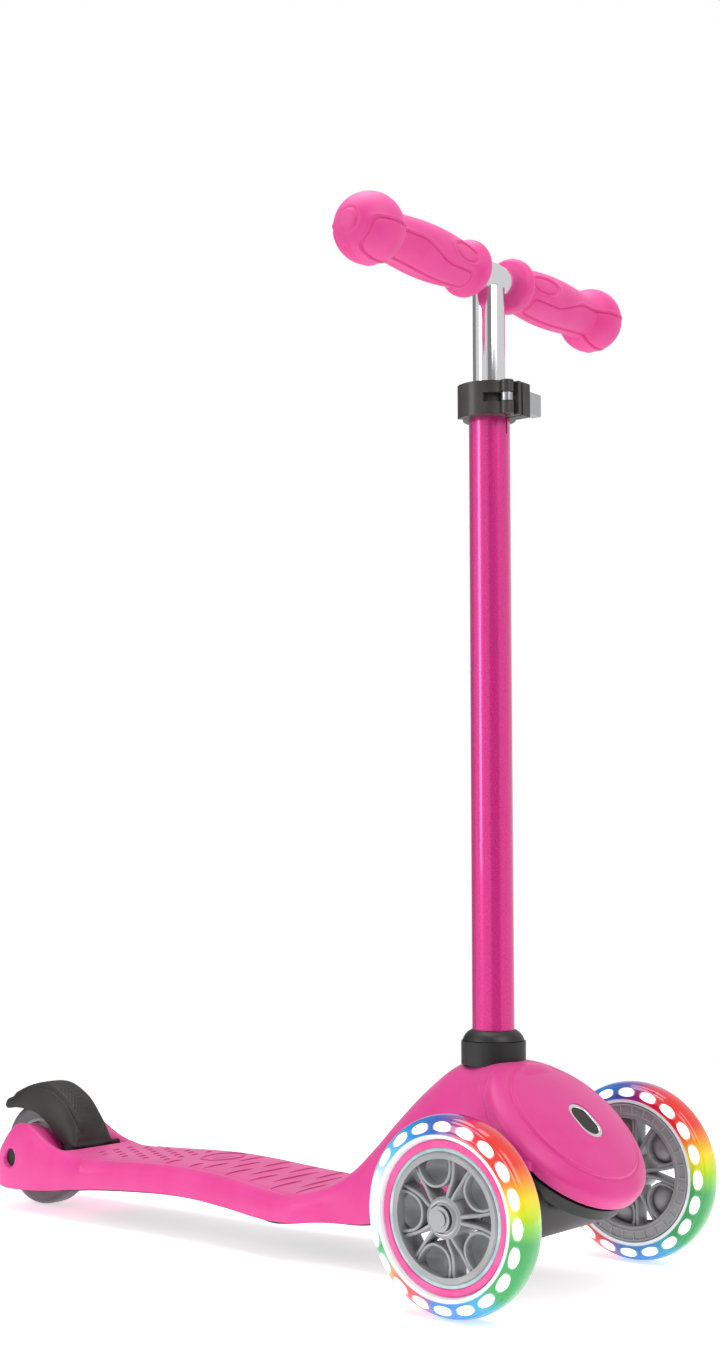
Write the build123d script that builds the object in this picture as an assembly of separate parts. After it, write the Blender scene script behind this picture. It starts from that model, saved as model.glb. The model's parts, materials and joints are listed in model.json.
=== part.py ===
"""Three-wheeled lean-to-steer kick scooter for small children, in millimetres.

The scooter faces -Y and its right-hand side is -X. Every piece is drawn with the front axle over Y = 0
and the ground at Z = 0, and export() moves it so that the origin is the bottom centre of the whole scooter.
"""
from build123d import *
import math
import os

# ---------------------------------------------------------------- driving dimensions
# wheels
front_wheel_d = 120.0
front_wheel_w = 24.0
front_track_half = 106.8
rear_wheel_d = 80.0
rear_wheel_w = 23.0
wheelbase = 476.0
rim_r = 38.6
tyre_seat_r = 45.5
hub_wall = 2.4
boss_r = 12.5
spoke_count = 5
spoke_w = 3.2
spoke_depth = 13.0
spoke_lean = 11.0
petal_r = 10.0
petal_wall = 2.4
petal_at = 29.5

# bearings and axles
bearing_od = 22.0
bearing_id = 8.0
bearing_w = 7.0
axle_d = 8.0
run_clear = 0.05
body_clear = 0.3

# column and handlebar
column_y = 44.0
tube_od = 28.0
tube_wall = 1.8
tube_bottom_z = 96.0
bar_z = 671.0
bar_over_tube = 81.0
tube_top_z = bar_z - bar_over_tube
stem_od = 22.2
stem_wall = 1.5
bar_travel = 100.0
clamp_lip = 3.6
clamp_h = 23.0
bush_length = 112.0
stem_in_tube = 213.0
nub_below_top = 91.6
plug_head = 12.0
key_w = 4.0
key_depth = 1.2
nub_r = 3.0
clamp_z1 = tube_top_z + clamp_lip
clamp_z0 = clamp_z1 - clamp_h
collar_wall = 7.4
collar_r = tube_od / 2 + collar_wall
collar_z0 = 128.0
collar_z1 = 153.2
collar_cap_z = 160.4

# grips
ball_x = 132.0
ball_r = 23.0
flange_x = 20.0
flange_r = 19.5
grip_neck_r = 15.8
grip_belly_r = 18.0

# nose dome: half of an ellipsoid whose own axis is the steering axis
nose_half_w = 61.7
nose_half_l = 59.9
nose_rise = 15.5
nose_skirt = 5.7
nose_wall = 3.5
nose_y = -12.1
nose_z = 99.2
steer_tilt = 42.7
steer_swing = 12.0

# steering lock button, a little in front of the steering axis
button_l = 22.0
button_w = 15.0
button_ring = 3.0
button_offset = 5.3
button_travel = 4.0
lock_pin_r = 3.0
lock_pin_offset = 11.6

# steering springs, inside the nose
spring_offset = 30.0
spring_r = 4.2
spring_height = -1.0
spring_post_x = 26.0
truck_lug_half = 4.0
lug_half_l = 4.5

# deck
deck_wall = 4.0
slot_half = 14.5
cheek_half = 42.0
rear_hole_r = 7.5

# truck
truck_plate_t = 8.0
truck_gap = 3.0
truck_r = 26.0
arm_r = 15.0
kingpin_r = 4.0
kingpin_hub_r = 14.0

# brake
brake_half = 21.0
brake_gap = 3.4
brake_pin_ahead = 48.0
brake_pin_y = wheelbase - brake_pin_ahead
brake_pin_z = 49.0
brake_pin_r = 2.5
brake_tail_behind = 44.0
brake_tail_y = wheelbase + brake_tail_behind

# clamp
clamp_wall = 4.0
ear_gap_x = -0.8
ear_gap = 1.6
clamp_bolt_out = 7.5
clamp_bolt_y = column_y - tube_od / 2 - clamp_bolt_out
lever_pin_x = -10.0
lever_gap = 0.6
lever_wall = 4.0
lever_in_r = tube_od / 2 + clamp_wall + lever_gap
lever_out_r = lever_in_r + lever_wall
cam_r = 4.6

front_r = front_wheel_d / 2
rear_r = rear_wheel_d / 2
origin_y = (brake_tail_y - front_r) / 2

# ---------------------------------------------------------------- frames of reference
tilt = math.radians(steer_tilt)
steer_axis = (0.0, -math.sin(tilt), math.cos(tilt))
# local frame of the nose: x across, y up the slope, z along the steering axis
nose_plane = Plane(origin=(0, nose_y, nose_z), x_dir=(1, 0, 0), z_dir=steer_axis)


def export(node, shape):
    """Write one node, moved to the scooter's own origin."""
    export_step(Location((0, -origin_y, 0)) * shape, f"parts/{node}.step")


def cyl(radius, length, at, axis):
    """A cylinder from the point at, along axis."""
    return extrude(Plane(origin=at, z_dir=axis) * Circle(radius), length)


def ring(outer, inner, length, at, axis):
    """A tube from the point at, along axis."""
    plane = Plane(origin=at, z_dir=axis)
    return extrude(plane * (Circle(outer) - Circle(inner)), length)


def nose_cyl(radius, low, high, across=0.0, down=0.0):
    """A cylinder along the steering axis, from height low to high over the dome's rim plane."""
    place = nose_plane * Location((across, -down, low))
    return place * extrude(Circle(radius), high - low)


def dome(half_w, half_l, rise, skirt):
    """The upper part of an ellipsoid, in the nose's own frame."""
    ball = scale(Sphere(1.0), by=(half_w, half_l, rise))
    keep = Box(4 * half_w, 4 * half_l, rise + skirt, align=(Align.CENTER, Align.CENTER, Align.MIN))
    return nose_plane * (ball & (Location((0, 0, -skirt)) * keep))


# ---------------------------------------------------------------- deck and nose moulding
# neck: y, half width, top, bottom
neck_stations = [
    (2.0, 56.0, 124.0, 84.0),
    (22.0, 58.0, 140.0, 70.0),
    (44.0, 56.0, 141.5, 58.0),
    (66.0, 53.0, 137.0, 48.0),
    (88.0, 50.0, 121.0, 40.0),
    (108.0, 47.0, 101.0, 34.0),
    (124.0, 45.0, 80.0, 31.0),
    (138.0, 44.0, 62.0, 30.0),
    (152.0, 46.0, 52.0, 29.5),
]
# board: y, half width, top, bottom; its rear half is measured from the rear axle
deck_stations = [
    (130.0, 43.5, 52.0, 30.0),
    (155.0, 50.0, 46.0, 29.0),
    (180.0, 54.5, 44.0, 27.0),
    (205.0, 52.0, 45.0, 26.6),
    (wheelbase - 236.0, 47.0, 47.9, 28.8),
    (wheelbase - 196.0, 45.5, 50.5, 31.4),
    (wheelbase - 156.0, 46.0, 50.6, 31.0),
    (wheelbase - 116.0, 47.0, 48.6, 28.5),
    (wheelbase - 76.0, 45.0, 47.5, 24.0),
    (wheelbase - 46.0, 43.6, 50.0, 20.0),
]


def arch(y, half_w, top, bottom):
    """Section of the neck: half an ellipse standing on a flat base."""
    plane = Plane(origin=(0, y, bottom), x_dir=(1, 0, 0), z_dir=(0, 1, 0))
    with BuildSketch(plane) as sketch:
        with BuildLine():
            EllipticalCenterArc((0, 0), half_w, top - bottom, start_angle=180, arc_size=180)
            Line((-half_w, 0), (half_w, 0))
        make_face()
    return sketch.sketch


def board(y, half_w, top, bottom, corner=7.0):
    """Section of the board: a flat slab with rounded upper edges."""
    plane = Plane(origin=(0, y, 0), x_dir=(1, 0, 0), z_dir=(0, 1, 0))
    corner = min(corner, 0.8 * (top - bottom))
    with BuildSketch(plane) as sketch:
        with BuildLine():
            Line((-half_w, -bottom), (half_w, -bottom))
            Line((half_w, -bottom), (half_w, corner - top))
            RadiusArc((half_w, corner - top), (half_w - corner, -top), corner)
            Line((half_w - corner, -top), (corner - half_w, -top))
            RadiusArc((corner - half_w, -top), (-half_w, corner - top), corner)
            Line((-half_w, corner - top), (-half_w, -bottom))
        make_face()
    return sketch.sketch


def inner(stations, section):
    """The hollow under a moulding: its sections, one wall smaller and open below."""
    return loft([section(y, w - deck_wall, t - deck_wall, b - 1.0) for y, w, t, b in stations])


def yz_solid(points, half, closing=()):
    """A side outline in Y and Z, as a curve through points and lines through closing, across +-half."""
    with BuildSketch(Plane.YZ) as sketch:
        with BuildLine():
            Spline(*points)
            Polyline(points[-1], *closing, points[0])
        make_face()
    return extrude(sketch.sketch, half, both=True)


def from_axle(points):
    """Points of a side outline, from their distance behind the rear axle and their height."""
    return [(wheelbase + behind, height) for behind, height in points]


def oval(length, width):
    """A slot-like oval, long in local Y."""
    return Rotation(0, 0, 90) * SlotOverall(length, width)


hollow_end = (wheelbase - 58.0, 44.1, 49.0, 21.6)
hollow_stations = deck_stations[:-1] + [hollow_end]
screw_places = [(x, y) for y in (190.0, wheelbase - 186.0, wheelbase - 81.0) for x in (-30.0, 30.0)]
screw_r = 2.0
screw_boss_r = 4.5
underframe_t = 5.0
underframe_drop = 1.5
lock_floor = 2.5
boss_low = -truck_gap - nose_skirt - 0.2
plate_top = -truck_gap - nose_skirt - 0.3
kingpin_nut_t = 7.0
kingpin_nut_flat = 13.0
kingpin_top = 1.5
hub_low = -51.5


def station_at(stations, y, column):
    """A station value at y, by straight interpolation."""
    for low, high in zip(stations, stations[1:]):
        if low[0] <= y <= high[0]:
            share = (y - low[0]) / (high[0] - low[0])
            return low[column] + share * (high[column] - low[column])
    raise ValueError(y)


def rear_cheeks():
    """The two ears that carry the rear axle, with the scoop for the brake between them."""
    axle_y, end_y = wheelbase, wheelbase + 26.5
    root_half = cheek_half + 1.6
    top = from_axle([(-50, 52), (-36, 57.5), (-21, 66.5), (-10, 70), (2, 68), (15, 56), (23, 42), (25, 29)])
    under = from_axle([(18, 20), (1, 16.7), (-26, 18), (-50, 20.4)])
    side = yz_solid(top, cheek_half + 2, under)
    with BuildSketch() as plan:
        with BuildLine():
            Polyline((-root_half, axle_y - 52), (-root_half, axle_y - 46), (-cheek_half, axle_y))
            Spline((-cheek_half, axle_y), (4 - cheek_half, axle_y + 18), (15 - cheek_half, end_y))
            Line((15 - cheek_half, end_y), (cheek_half - 15, end_y))
            Spline((cheek_half - 15, end_y), (cheek_half - 4, axle_y + 18), (cheek_half, axle_y))
            Polyline((cheek_half, axle_y), (root_half, axle_y - 46), (root_half, axle_y - 52),
                     (-root_half, axle_y - 52))
        make_face()
    cheeks = side & extrude(plan.sketch, 120)
    return cheeks


def brake_scoop():
    """The hollow in the deck that the brake sits in."""
    floor = from_axle([(-57, 52), (-54, 45), (-48, 42.8), (-40, 43.5), (-30, 49), (-21, 57), (-10, 64), (4, 66.5),
                       (36, 66.5)])
    return yz_solid(floor, brake_half + 2.5, from_axle([(36, 120), (-57, 120)]))


def wheel_slot():
    """The open slot for the rear wheel."""
    start = wheelbase - rear_r - 5.0
    return Pos(0, start, 0) * Box(2 * slot_half, 120, 160, align=(Align.CENTER, Align.MIN, Align.CENTER))


def deck():
    """Nose, neck and footboard: one moulding, hollow below."""
    outer = loft([arch(*st) for st in neck_stations]) + loft([board(*st) for st in deck_stations])
    outer += dome(nose_half_w, nose_half_l, nose_rise, nose_skirt)
    web = Pos(0, 55, 96) * Box(4, 150, 110) + Pos(0, column_y, 110) * Box(120, 4, 70)
    truck_room = nose_cyl(nose_half_w + 3, -80, -nose_skirt)
    truck_room &= Pos(0, -20, 0) * Box(200, 100, 400)
    truck_room += Pos(0, 4, front_r) * extrude(Plane.YZ * Circle(truck_r + 10), 130, both=True)
    hollow = inner(neck_stations, arch) + inner(hollow_stations, board)
    hollow += dome(nose_half_w - nose_wall, nose_half_l - nose_wall, nose_rise - nose_wall, 60)
    ribs = (web & outer) - truck_room
    socket = cyl(tube_od / 2 + 4.5, 60, (0, column_y, tube_bottom_z - 6), (0, 0, 1)) & outer
    boss = nose_cyl(18.5, boss_low, nose_rise) & outer + nose_cyl(18.5, boss_low, 0)
    spring_posts = [
        nose_plane * Pos(x, -spring_offset, -nose_skirt + 0.5) * Box(
            4, 2 * lug_half_l, 30, align=(Align.CENTER, Align.CENTER, Align.MIN)) & outer
        for x in (-spring_post_x - 2, spring_post_x + 2)]
    posts = [cyl(screw_boss_r, 40, (x, y, station_at(deck_stations, y, 3) + underframe_t - underframe_drop),
                 (0, 0, 1)) & outer for x, y in screw_places]
    body = outer - hollow - truck_room
    body = body + ribs + socket + boss + posts + spring_posts
    body -= underframe_plate()
    body += rear_cheeks()
    body = body - wheel_slot() - brake_scoop()
    # column socket, collar thread and cap seat
    body -= cyl(tube_od / 2, 80, (0, column_y, tube_bottom_z), (0, 0, 1))
    body -= cyl(collar_r - 3, 60, (0, column_y, collar_z0), (0, 0, 1))
    # steering pin, nut, lock pin, button and its ring
    body -= nose_cyl(kingpin_r, -20, 10)
    body -= nose_plane * Pos(0, 0, kingpin_top - kingpin_nut_t) * extrude(
        RegularPolygon(kingpin_nut_flat / 2, 6, major_radius=False), 10)
    body -= nose_cyl(button_l / 2 + 0.5, lock_floor, 9.6, down=button_offset)
    body -= nose_cyl(lock_pin_r + run_clear, -20, 9.6, down=lock_pin_offset)
    body -= nose_plane * Pos(0, -button_offset, lock_floor) * extrude(oval(button_l + 0.4, button_w + 0.4), 30)
    ring_l = button_l + 2 * button_ring
    body -= nose_plane * Pos(0, -button_offset, 12.2) * extrude(
        oval(ring_l, button_w + 2 * button_ring), 30)
    # rear axle, brake pin and screws
    body -= cyl(axle_d / 2, 200, (-100, wheelbase, rear_r), (1, 0, 0))
    for x in (-60, cheek_half - 8):
        body -= cyl(rear_hole_r, 60 - cheek_half + 8, (x, wheelbase, rear_r), (1, 0, 0))
    body -= cyl(brake_pin_r, 2 * brake_half + 18, (-brake_half - 9, brake_pin_y, brake_pin_z), (1, 0, 0))
    for x, y in screw_places:
        body -= cyl(screw_r + run_clear, 12, (x, y, station_at(deck_stations, y, 3)), (0, 0, 1))
    return body


def underframe_plate():
    """Outline of the reinforcement: a plate that follows the bottom of the neck and the board."""
    def slab(y, half_w, bottom):
        plane = Plane(origin=(0, y, bottom - underframe_drop + underframe_t / 2), x_dir=(1, 0, 0),
                      z_dir=(0, 1, 0))
        return plane * Rectangle(2 * (half_w - deck_wall - 0.2), underframe_t)

    stations = neck_stations[3:-1] + hollow_stations[2:-1]
    places = [(y, w, b) for y, w, t, b in stations] + [(hollow_end[0] - 1.0, hollow_end[1], hollow_end[3])]
    return loft([slab(*place) for place in places])


def underframe():
    """Black reinforcement that closes the board from below."""
    plate = underframe_plate()
    for x, y in screw_places:
        base = station_at(deck_stations, y, 3) - underframe_drop
        plate -= cyl(screw_r, 30, (x, y, base - 5), (0, 0, 1))
        plate -= cyl(screw_r + 2, 10, (x, y, base + 2 - 10), (0, 0, 1))
    return plate


def deck_screws():
    """Six pan-head screws that hold the underframe."""
    screws = []
    for x, y in screw_places:
        base = station_at(deck_stations, y, 3) - underframe_drop
        screws.append(cyl(screw_r, 11, (x, y, base + 2), (0, 0, 1)) + cyl(screw_r + 1.8, 1.8, (x, y, base + 0.2),
                                                                       (0, 0, 1)))
    return Compound(children=screws)


# ---------------------------------------------------------------- steering
def truck():
    """Front truck: round plate under the nose, barrel with two arms, and the steering hub."""
    plate = nose_plane * Pos(0, 0, plate_top - truck_plate_t) * extrude(Circle(nose_half_l - 2.5), truck_plate_t)
    lip = nose_plane * (Pos(0, -nose_half_l / 2 + 16 / 2, 0) * Box(200, nose_half_l + 16, 400))
    with BuildSketch(Plane.XY) as half:
        with BuildLine():
            Polyline((0, 0), (0, truck_r), (54, truck_r))
            Spline((54, truck_r), (64, truck_r - 5), (74, arm_r), (93.5, arm_r - 3))
            Polyline((93.5, arm_r - 3), (93.5, 0), (0, 0))
        make_face()
    side = revolve(half.sketch, Axis.X, 360)
    arms = Pos(0, 0, front_r) * (side + side.mirror(Plane.YZ))
    hub = nose_cyl(kingpin_hub_r, hub_low, plate_top)
    body = (plate & lip) + arms + hub
    body += cyl(6.5, 2 * 95.5, (-95.5, 0, front_r), (1, 0, 0))
    body -= nose_cyl(kingpin_r + 2.0, hub_low - 60, plate_top + 5)
    body -= nose_cyl(kingpin_hub_r - 2.0, hub_low - 60, hub_low)
    body += nose_cyl(kingpin_r + 2.0, hub_low + 12, plate_top - 12) - nose_cyl(kingpin_r + 1.0, -90, 10)
    for start in (-100, 60):
        body -= cyl(axle_d / 2, 40, (start, 0, front_r), (1, 0, 0))
    body += nose_plane * Pos(0, -spring_offset, plate_top - 1) * Box(
        2 * truck_lug_half, 2 * lug_half_l, spring_height + spring_r - plate_top + 1,
        align=(Align.CENTER, Align.CENTER, Align.MIN))
    return body


def steering_springs():
    """Two compression springs that bring the truck back to straight, drawn as their envelopes."""
    low, high = truck_lug_half + 0.05, spring_post_x - 0.05
    springs = []
    for sign in (-1, 1):
        start = nose_plane * Plane(origin=(sign * low, -spring_offset, spring_height), z_dir=(sign, 0, 0))
        springs.append(extrude(start * (Circle(spring_r) - Circle(spring_r - 1.4)), high - low))
    return Compound(children=springs)


def steering_bushes():
    """Two nylon sleeves between kingpin and truck hub."""
    upper = nose_cyl(kingpin_r + 2.0, plate_top - 12, plate_top) - nose_cyl(kingpin_r + run_clear, -90, 10)
    lower = nose_cyl(kingpin_r + 2.0, hub_low, hub_low + 12) - nose_cyl(kingpin_r + run_clear, -90, 10)
    return Compound(children=[upper, lower])


def kingpin():
    """Steering bolt: shank along the steering axis with its head and washer below the hub."""
    head_low = hub_low - body_clear - 8.0
    bolt = nose_cyl(kingpin_r, head_low, kingpin_top)
    head = nose_plane * Pos(0, 0, head_low) * extrude(RegularPolygon(8.0, 6, major_radius=False), 6.0)
    washer = nose_cyl(10.0, head_low + 6.0, head_low + 8.0)
    return bolt + head + washer


def kingpin_nut():
    nut = nose_plane * Pos(0, 0, kingpin_top - kingpin_nut_t) * extrude(
        RegularPolygon(kingpin_nut_flat / 2, 6, major_radius=False), kingpin_nut_t - 0.5)
    return nut - nose_cyl(kingpin_r, -20, 20)


def lock_button():
    """Oval push button with its flange and the pin that locks the truck straight."""
    cap_top = nose_rise - 0.6
    cap = nose_plane * Pos(0, -button_offset, 7.3) * extrude(oval(button_l, button_w), cap_top - 7.3)
    flange = nose_cyl(button_l / 2 + 0.2, 7.3, 9.3, down=button_offset)
    pin = nose_cyl(lock_pin_r, plate_top + button_travel + body_clear, 7.5, down=lock_pin_offset)
    return cap + flange + pin


def lock_spring():
    """Return spring under the button's flange, drawn as its envelope."""
    outer = nose_cyl(button_l / 2 - 0.3, lock_floor + 0.05, 7.25, down=button_offset)
    return outer - nose_cyl(button_l / 2 - 1.5, 0, 10, down=button_offset)


def button_bezel():
    """Bright oval ring around the button."""
    outer = oval(button_l + 2 * button_ring, button_w + 2 * button_ring)
    hole = oval(button_l + 0.4, button_w + 0.4)
    return nose_plane * Pos(0, -button_offset, 12.2) * extrude(outer - hole, nose_rise - 12.2 + 0.3)


# ---------------------------------------------------------------- column, clamp and handlebar
bush_bottom_z = tube_top_z - bush_length
stem_bottom_z = tube_top_z - stem_in_tube
nub_z = tube_top_z - nub_below_top


def column_collar():
    """Black threaded collar that holds the column in the nose."""
    skirt = ring(collar_r, tube_od / 2, collar_z1 - 138.0, (0, column_y, 138.0), (0, 0, 1))
    thread = ring(collar_r - 3, tube_od / 2, 138.0 - collar_z0, (0, column_y, collar_z0), (0, 0, 1))
    return (skirt - deck_outer()) + thread


def deck_outer():
    """Outside of the nose where the collar meets it."""
    return loft([arch(*st) for st in neck_stations]) + dome(nose_half_w, nose_half_l, nose_rise, nose_skirt)


def collar_cap():
    """Domed cap ring over the collar."""
    with BuildSketch(Plane.XZ) as half:
        with BuildLine():
            Polyline((tube_od / 2, 0), (collar_r - 0.8, 0))
            Spline((collar_r - 0.8, 0), (collar_r - 2.4, 3.6), (tube_od / 2 + 0.8, collar_cap_z - collar_z1))
            Polyline((tube_od / 2 + 0.8, collar_cap_z - collar_z1), (tube_od / 2, collar_cap_z - collar_z1),
                     (tube_od / 2, 0))
        make_face()
    return Pos(0, column_y, collar_z1) * revolve(half.sketch, Axis.Z, 360)


def lower_tube():
    tube = ring(tube_od / 2, tube_od / 2 - tube_wall, tube_top_z - tube_bottom_z, (0, column_y, tube_bottom_z),
                (0, 0, 1))
    tube -= cyl(nub_r, 20, (0, column_y, nub_z), (0, 1, 0))
    return tube - Pos(0, column_y - tube_od / 2, tube_top_z) * Box(1.6, tube_od / 2, 60)


def guide_bush():
    """Plastic guide in the top of the lower tube, with its anti-turn key and its locating nub."""
    bush = ring(tube_od / 2 - tube_wall, stem_od / 2 + run_clear, tube_top_z - bush_bottom_z,
                (0, column_y, bush_bottom_z), (0, 0, 1))
    bush += ring(tube_od / 2, stem_od / 2 + run_clear, clamp_z1 - tube_top_z, (0, column_y, tube_top_z), (0, 0, 1))
    key = Pos(0, column_y + stem_od / 2 - key_depth, bush_bottom_z) * Box(
        key_w - 0.3, key_depth + 0.6, 10, align=(Align.CENTER, Align.MIN, Align.MIN))
    nub = cyl(nub_r, 3.6, (0, column_y + stem_od / 2 + 0.6, nub_z), (0, 1, 0))
    nub &= cyl(tube_od / 2 + 1.6, 40, (0, column_y, nub_z - 20), (0, 0, 1))
    return bush + key + nub - Pos(0, column_y - tube_od / 2, clamp_z1) * Box(1.6, tube_od / 2 + 4, 60)


def clamp_collar():
    """Split collar with two ears at the front."""
    r = tube_od / 2
    height = clamp_z1 - clamp_z0
    body = cyl(r + clamp_wall, height, (0, column_y, clamp_z0), (0, 0, 1))
    ear_box = Pos(2, clamp_bolt_y + 1.0, clamp_z0 + height / 2) * Box(14, 14, height)
    body += ear_box
    body -= cyl(r, height, (0, column_y, clamp_z0), (0, 0, 1))
    body -= Pos(ear_gap_x, column_y - 20, clamp_z0) * Box(ear_gap, 40, 3 * height)
    body -= cyl(2.6, 60, (-30, clamp_bolt_y, (clamp_z0 + clamp_z1) / 2), (1, 0, 0))
    return body


def clamp_bolt():
    """Eye bolt: its eye turns on the lever pin, its shank runs through both ears."""
    mid = (clamp_z0 + clamp_z1) / 2
    eye = cyl(4.2, 5.4, (lever_pin_x, clamp_bolt_y, mid - 2.7), (0, 0, 1))
    shank = cyl(2.5, 37.5, (lever_pin_x, clamp_bolt_y, mid), (1, 0, 0))
    return eye + shank - cyl(2.5 + run_clear, 12, (lever_pin_x, clamp_bolt_y, mid - 6), (0, 0, 1))


def clamp_nut():
    """Bright adjusting nut at the far end of the eye bolt."""
    mid = (clamp_z0 + clamp_z1) / 2
    block = Pos(9.0, clamp_bolt_y, mid) * Box(17.0, 7.0, 15.0, align=(Align.MIN, Align.CENTER, Align.CENTER))
    return block - cyl(2.5, 60, (0, clamp_bolt_y, mid), (1, 0, 0))


def clamp_lever():
    """Quick-release lever that wraps round the side of the collar."""
    height = clamp_z1 - clamp_z0
    mid = (clamp_z0 + clamp_z1) / 2
    wrap = ring(lever_out_r, lever_in_r, height, (0, column_y, clamp_z0), (0, 0, 1))
    with BuildSketch() as sector:
        with BuildLine():
            far = 60.0
            tip, root = math.radians(142), math.radians(243)
            Polyline((0, 0), (far * math.cos(tip), far * math.sin(tip)), (-far, 0),
                     (far * math.cos(root), far * math.sin(root)), (0, 0))
        make_face()
    wrap &= Pos(0, column_y, clamp_z0) * extrude(sector.sketch, height)
    cam = cyl(cam_r, height, (lever_pin_x, clamp_bolt_y, clamp_z0), (0, 0, 1))
    lever = wrap + cam
    window = Pos(lever_pin_x, clamp_bolt_y, mid) * Box(60, 30, 6.4)
    lever -= window - Pos(-30, column_y + 6, mid) * Box(60, 30, 6.4)
    return lever - cyl(2.5, 60, (lever_pin_x, clamp_bolt_y, mid - 30), (0, 0, 1))


def lever_pin():
    return cyl(2.5, clamp_z1 - clamp_z0 - 1.0, (lever_pin_x, clamp_bolt_y, clamp_z0 + 0.5), (0, 0, 1))


def stem_tube():
    """Inner tube with the slot that the guide's key runs in."""
    top = bar_z - stem_od / 2 + 3.0
    tube = ring(stem_od / 2, stem_od / 2 - stem_wall, top - stem_bottom_z, (0, column_y, stem_bottom_z), (0, 0, 1))
    slot_top = bush_bottom_z + 11.0
    slot = Pos(0, column_y, stem_bottom_z) * Box(key_w, stem_od, slot_top - stem_bottom_z,
                                                 align=(Align.CENTER, Align.MIN, Align.MIN))
    return tube - slot - cyl(stem_od / 2, 200, (-100, column_y, bar_z), (1, 0, 0))


def stem_plug():
    """End plug that stops the stem from being pulled out."""
    head = cyl(tube_od / 2 - tube_wall - run_clear, plug_head, (0, column_y, stem_bottom_z - plug_head), (0, 0, 1))
    return head + cyl(stem_od / 2 - stem_wall, 20, (0, column_y, stem_bottom_z), (0, 0, 1))


def crossbar():
    half = ball_x - 8.0
    return ring(stem_od / 2, stem_od / 2 - stem_wall, 2 * half, (-half, column_y, bar_z), (1, 0, 0))


def grip(side):
    """Soft grip: thick inner flange, swelling barrel and ball end."""
    junction = math.sqrt(ball_r ** 2 - grip_neck_r ** 2)
    inner_r = stem_od / 2
    with BuildSketch(Plane.XY) as half:
        with BuildLine():
            Polyline((flange_x, inner_r), (flange_x, flange_r - 4))
            Spline((flange_x, flange_r - 4), (flange_x + 5.5, flange_r), (flange_x + 13, grip_neck_r),
                   tangents=((0.2, 1), (0.8, -1)))
            Spline((flange_x + 13, grip_neck_r), (flange_x + 46, grip_belly_r),
                   (ball_x - junction, grip_neck_r))
            ThreePointArc((ball_x - junction, grip_neck_r), (ball_x, ball_r), (ball_x + ball_r, 0))
            Polyline((ball_x + ball_r, 0), (ball_x - 8.0, 0), (ball_x - 8.0, inner_r), (flange_x, inner_r))
        make_face()
    body = Pos(0, column_y, bar_z) * revolve(half.sketch, Axis.X, 360)
    return body if side > 0 else body.mirror(Plane.YZ)


# ---------------------------------------------------------------- front wheels
def wheel_place(side):
    """Wheel frame: local Z points outboard."""
    return Plane(origin=(side * front_track_half, 0, front_r), x_dir=(0, 1, 0), z_dir=(side, 0, 0))


def disc(plane, outer, inner_r, low, high):
    sketch = Circle(outer) - Circle(inner_r) if inner_r else Circle(outer)
    return plane * Pos(0, 0, low) * extrude(sketch, high - low)


def front_hub(side):
    """Spoked hub: rim, inboard flange, forked spokes, petals and bearing boss."""
    plane = wheel_place(side)
    body = disc(Plane.XY, rim_r, rim_r - hub_wall, -11.3, 9.8)
    body += disc(Plane.XY, tyre_seat_r + 0.3, rim_r - hub_wall, -11.3, -8.7)
    body += disc(Plane.XY, boss_r, 0, -11.0, 13.0)
    for k in range(spoke_count):
        spin = Rotation(0, 0, 360 / spoke_count * k)
        for turn in (-spoke_lean, spoke_lean):
            bar = Rotation(0, 0, turn) * Box(rim_r - 1, spoke_w, spoke_depth,
                                             align=(Align.MIN, Align.CENTER, Align.CENTER))
            body += spin * bar
        petal = disc(Plane.XY, petal_r, petal_r - petal_wall, -spoke_depth / 2, spoke_depth / 2)
        body += (spin * Rotation(0, 0, 180 / spoke_count) * Pos(petal_at, 0, 0) * petal) & disc(Plane.XY, rim_r, 0, -7, 7)
    for low, high in ((-11.0, -4.0), (4.0, 11.0)):
        body -= disc(Plane.XY, bearing_od / 2, 0, low, high)
    body -= disc(Plane.XY, bearing_od / 2 - 2.5, 0, -5, 5)
    body -= disc(Plane.XY, 8.5, 0, 10, 14)
    return plane * body


def front_tyre(side):
    """Clear cast tyre with a rounded tread."""
    half = front_wheel_w / 2
    with BuildSketch(Plane.XZ) as profile:
        with BuildLine():
            Line((tyre_seat_r, -8.7), (tyre_seat_r, 9.0))
            Spline((tyre_seat_r, 9.0), (50.5, half - 0.6), (56.5, half - 3.6), (front_r, 0), (56.5, 3.6 - half),
                   (50.5, 0.6 - half), (tyre_seat_r + 0.8, -8.7))
            Line((tyre_seat_r + 0.8, -8.7), (tyre_seat_r, -8.7))
        make_face()
    return wheel_place(side) * revolve(profile.sketch, Axis.Z, 360)


def light_ring(side):
    """Clear carrier of the lamps, between hub and tyre."""
    body = disc(Plane.XY, tyre_seat_r, rim_r, -8.7, 7.4) + disc(Plane.XY, 41.0, rim_r, 7.4, 9.2)
    return wheel_place(side) * body


def trim_ring(side):
    return wheel_place(side) * disc(Plane.XY, tyre_seat_r, 41.0, 7.4, 9.6)


def front_bearings(side):
    plane = wheel_place(side)
    return Compound(children=[disc(plane, bearing_od / 2, bearing_id / 2 + run_clear, low, low + bearing_w)
                              for low in (-11.0, 4.0)])


def front_spacer(side):
    """Sleeve between the two bearings, which also carries the magnet of the lamp generator."""
    return disc(wheel_place(side), 6.5, bearing_id / 2 + run_clear, -4.0, 4.0)


def front_axle_bolt(side):
    """Axle bolt with its domed head, screwed into the truck arm."""
    plane = wheel_place(side)
    shank = disc(plane, axle_d / 2, 0, -40.0, 11.2)
    head = disc(plane, 7.6, 0, 11.2, 14.6) + disc(plane, 5.0, 0, 14.6, 15.5)
    return shank + head


# ---------------------------------------------------------------- rear wheel and brake
rear_plane = Plane(origin=(0, wheelbase, rear_r), x_dir=(0, 1, 0), z_dir=(1, 0, 0))
rear_seat_r = 27.0


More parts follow.
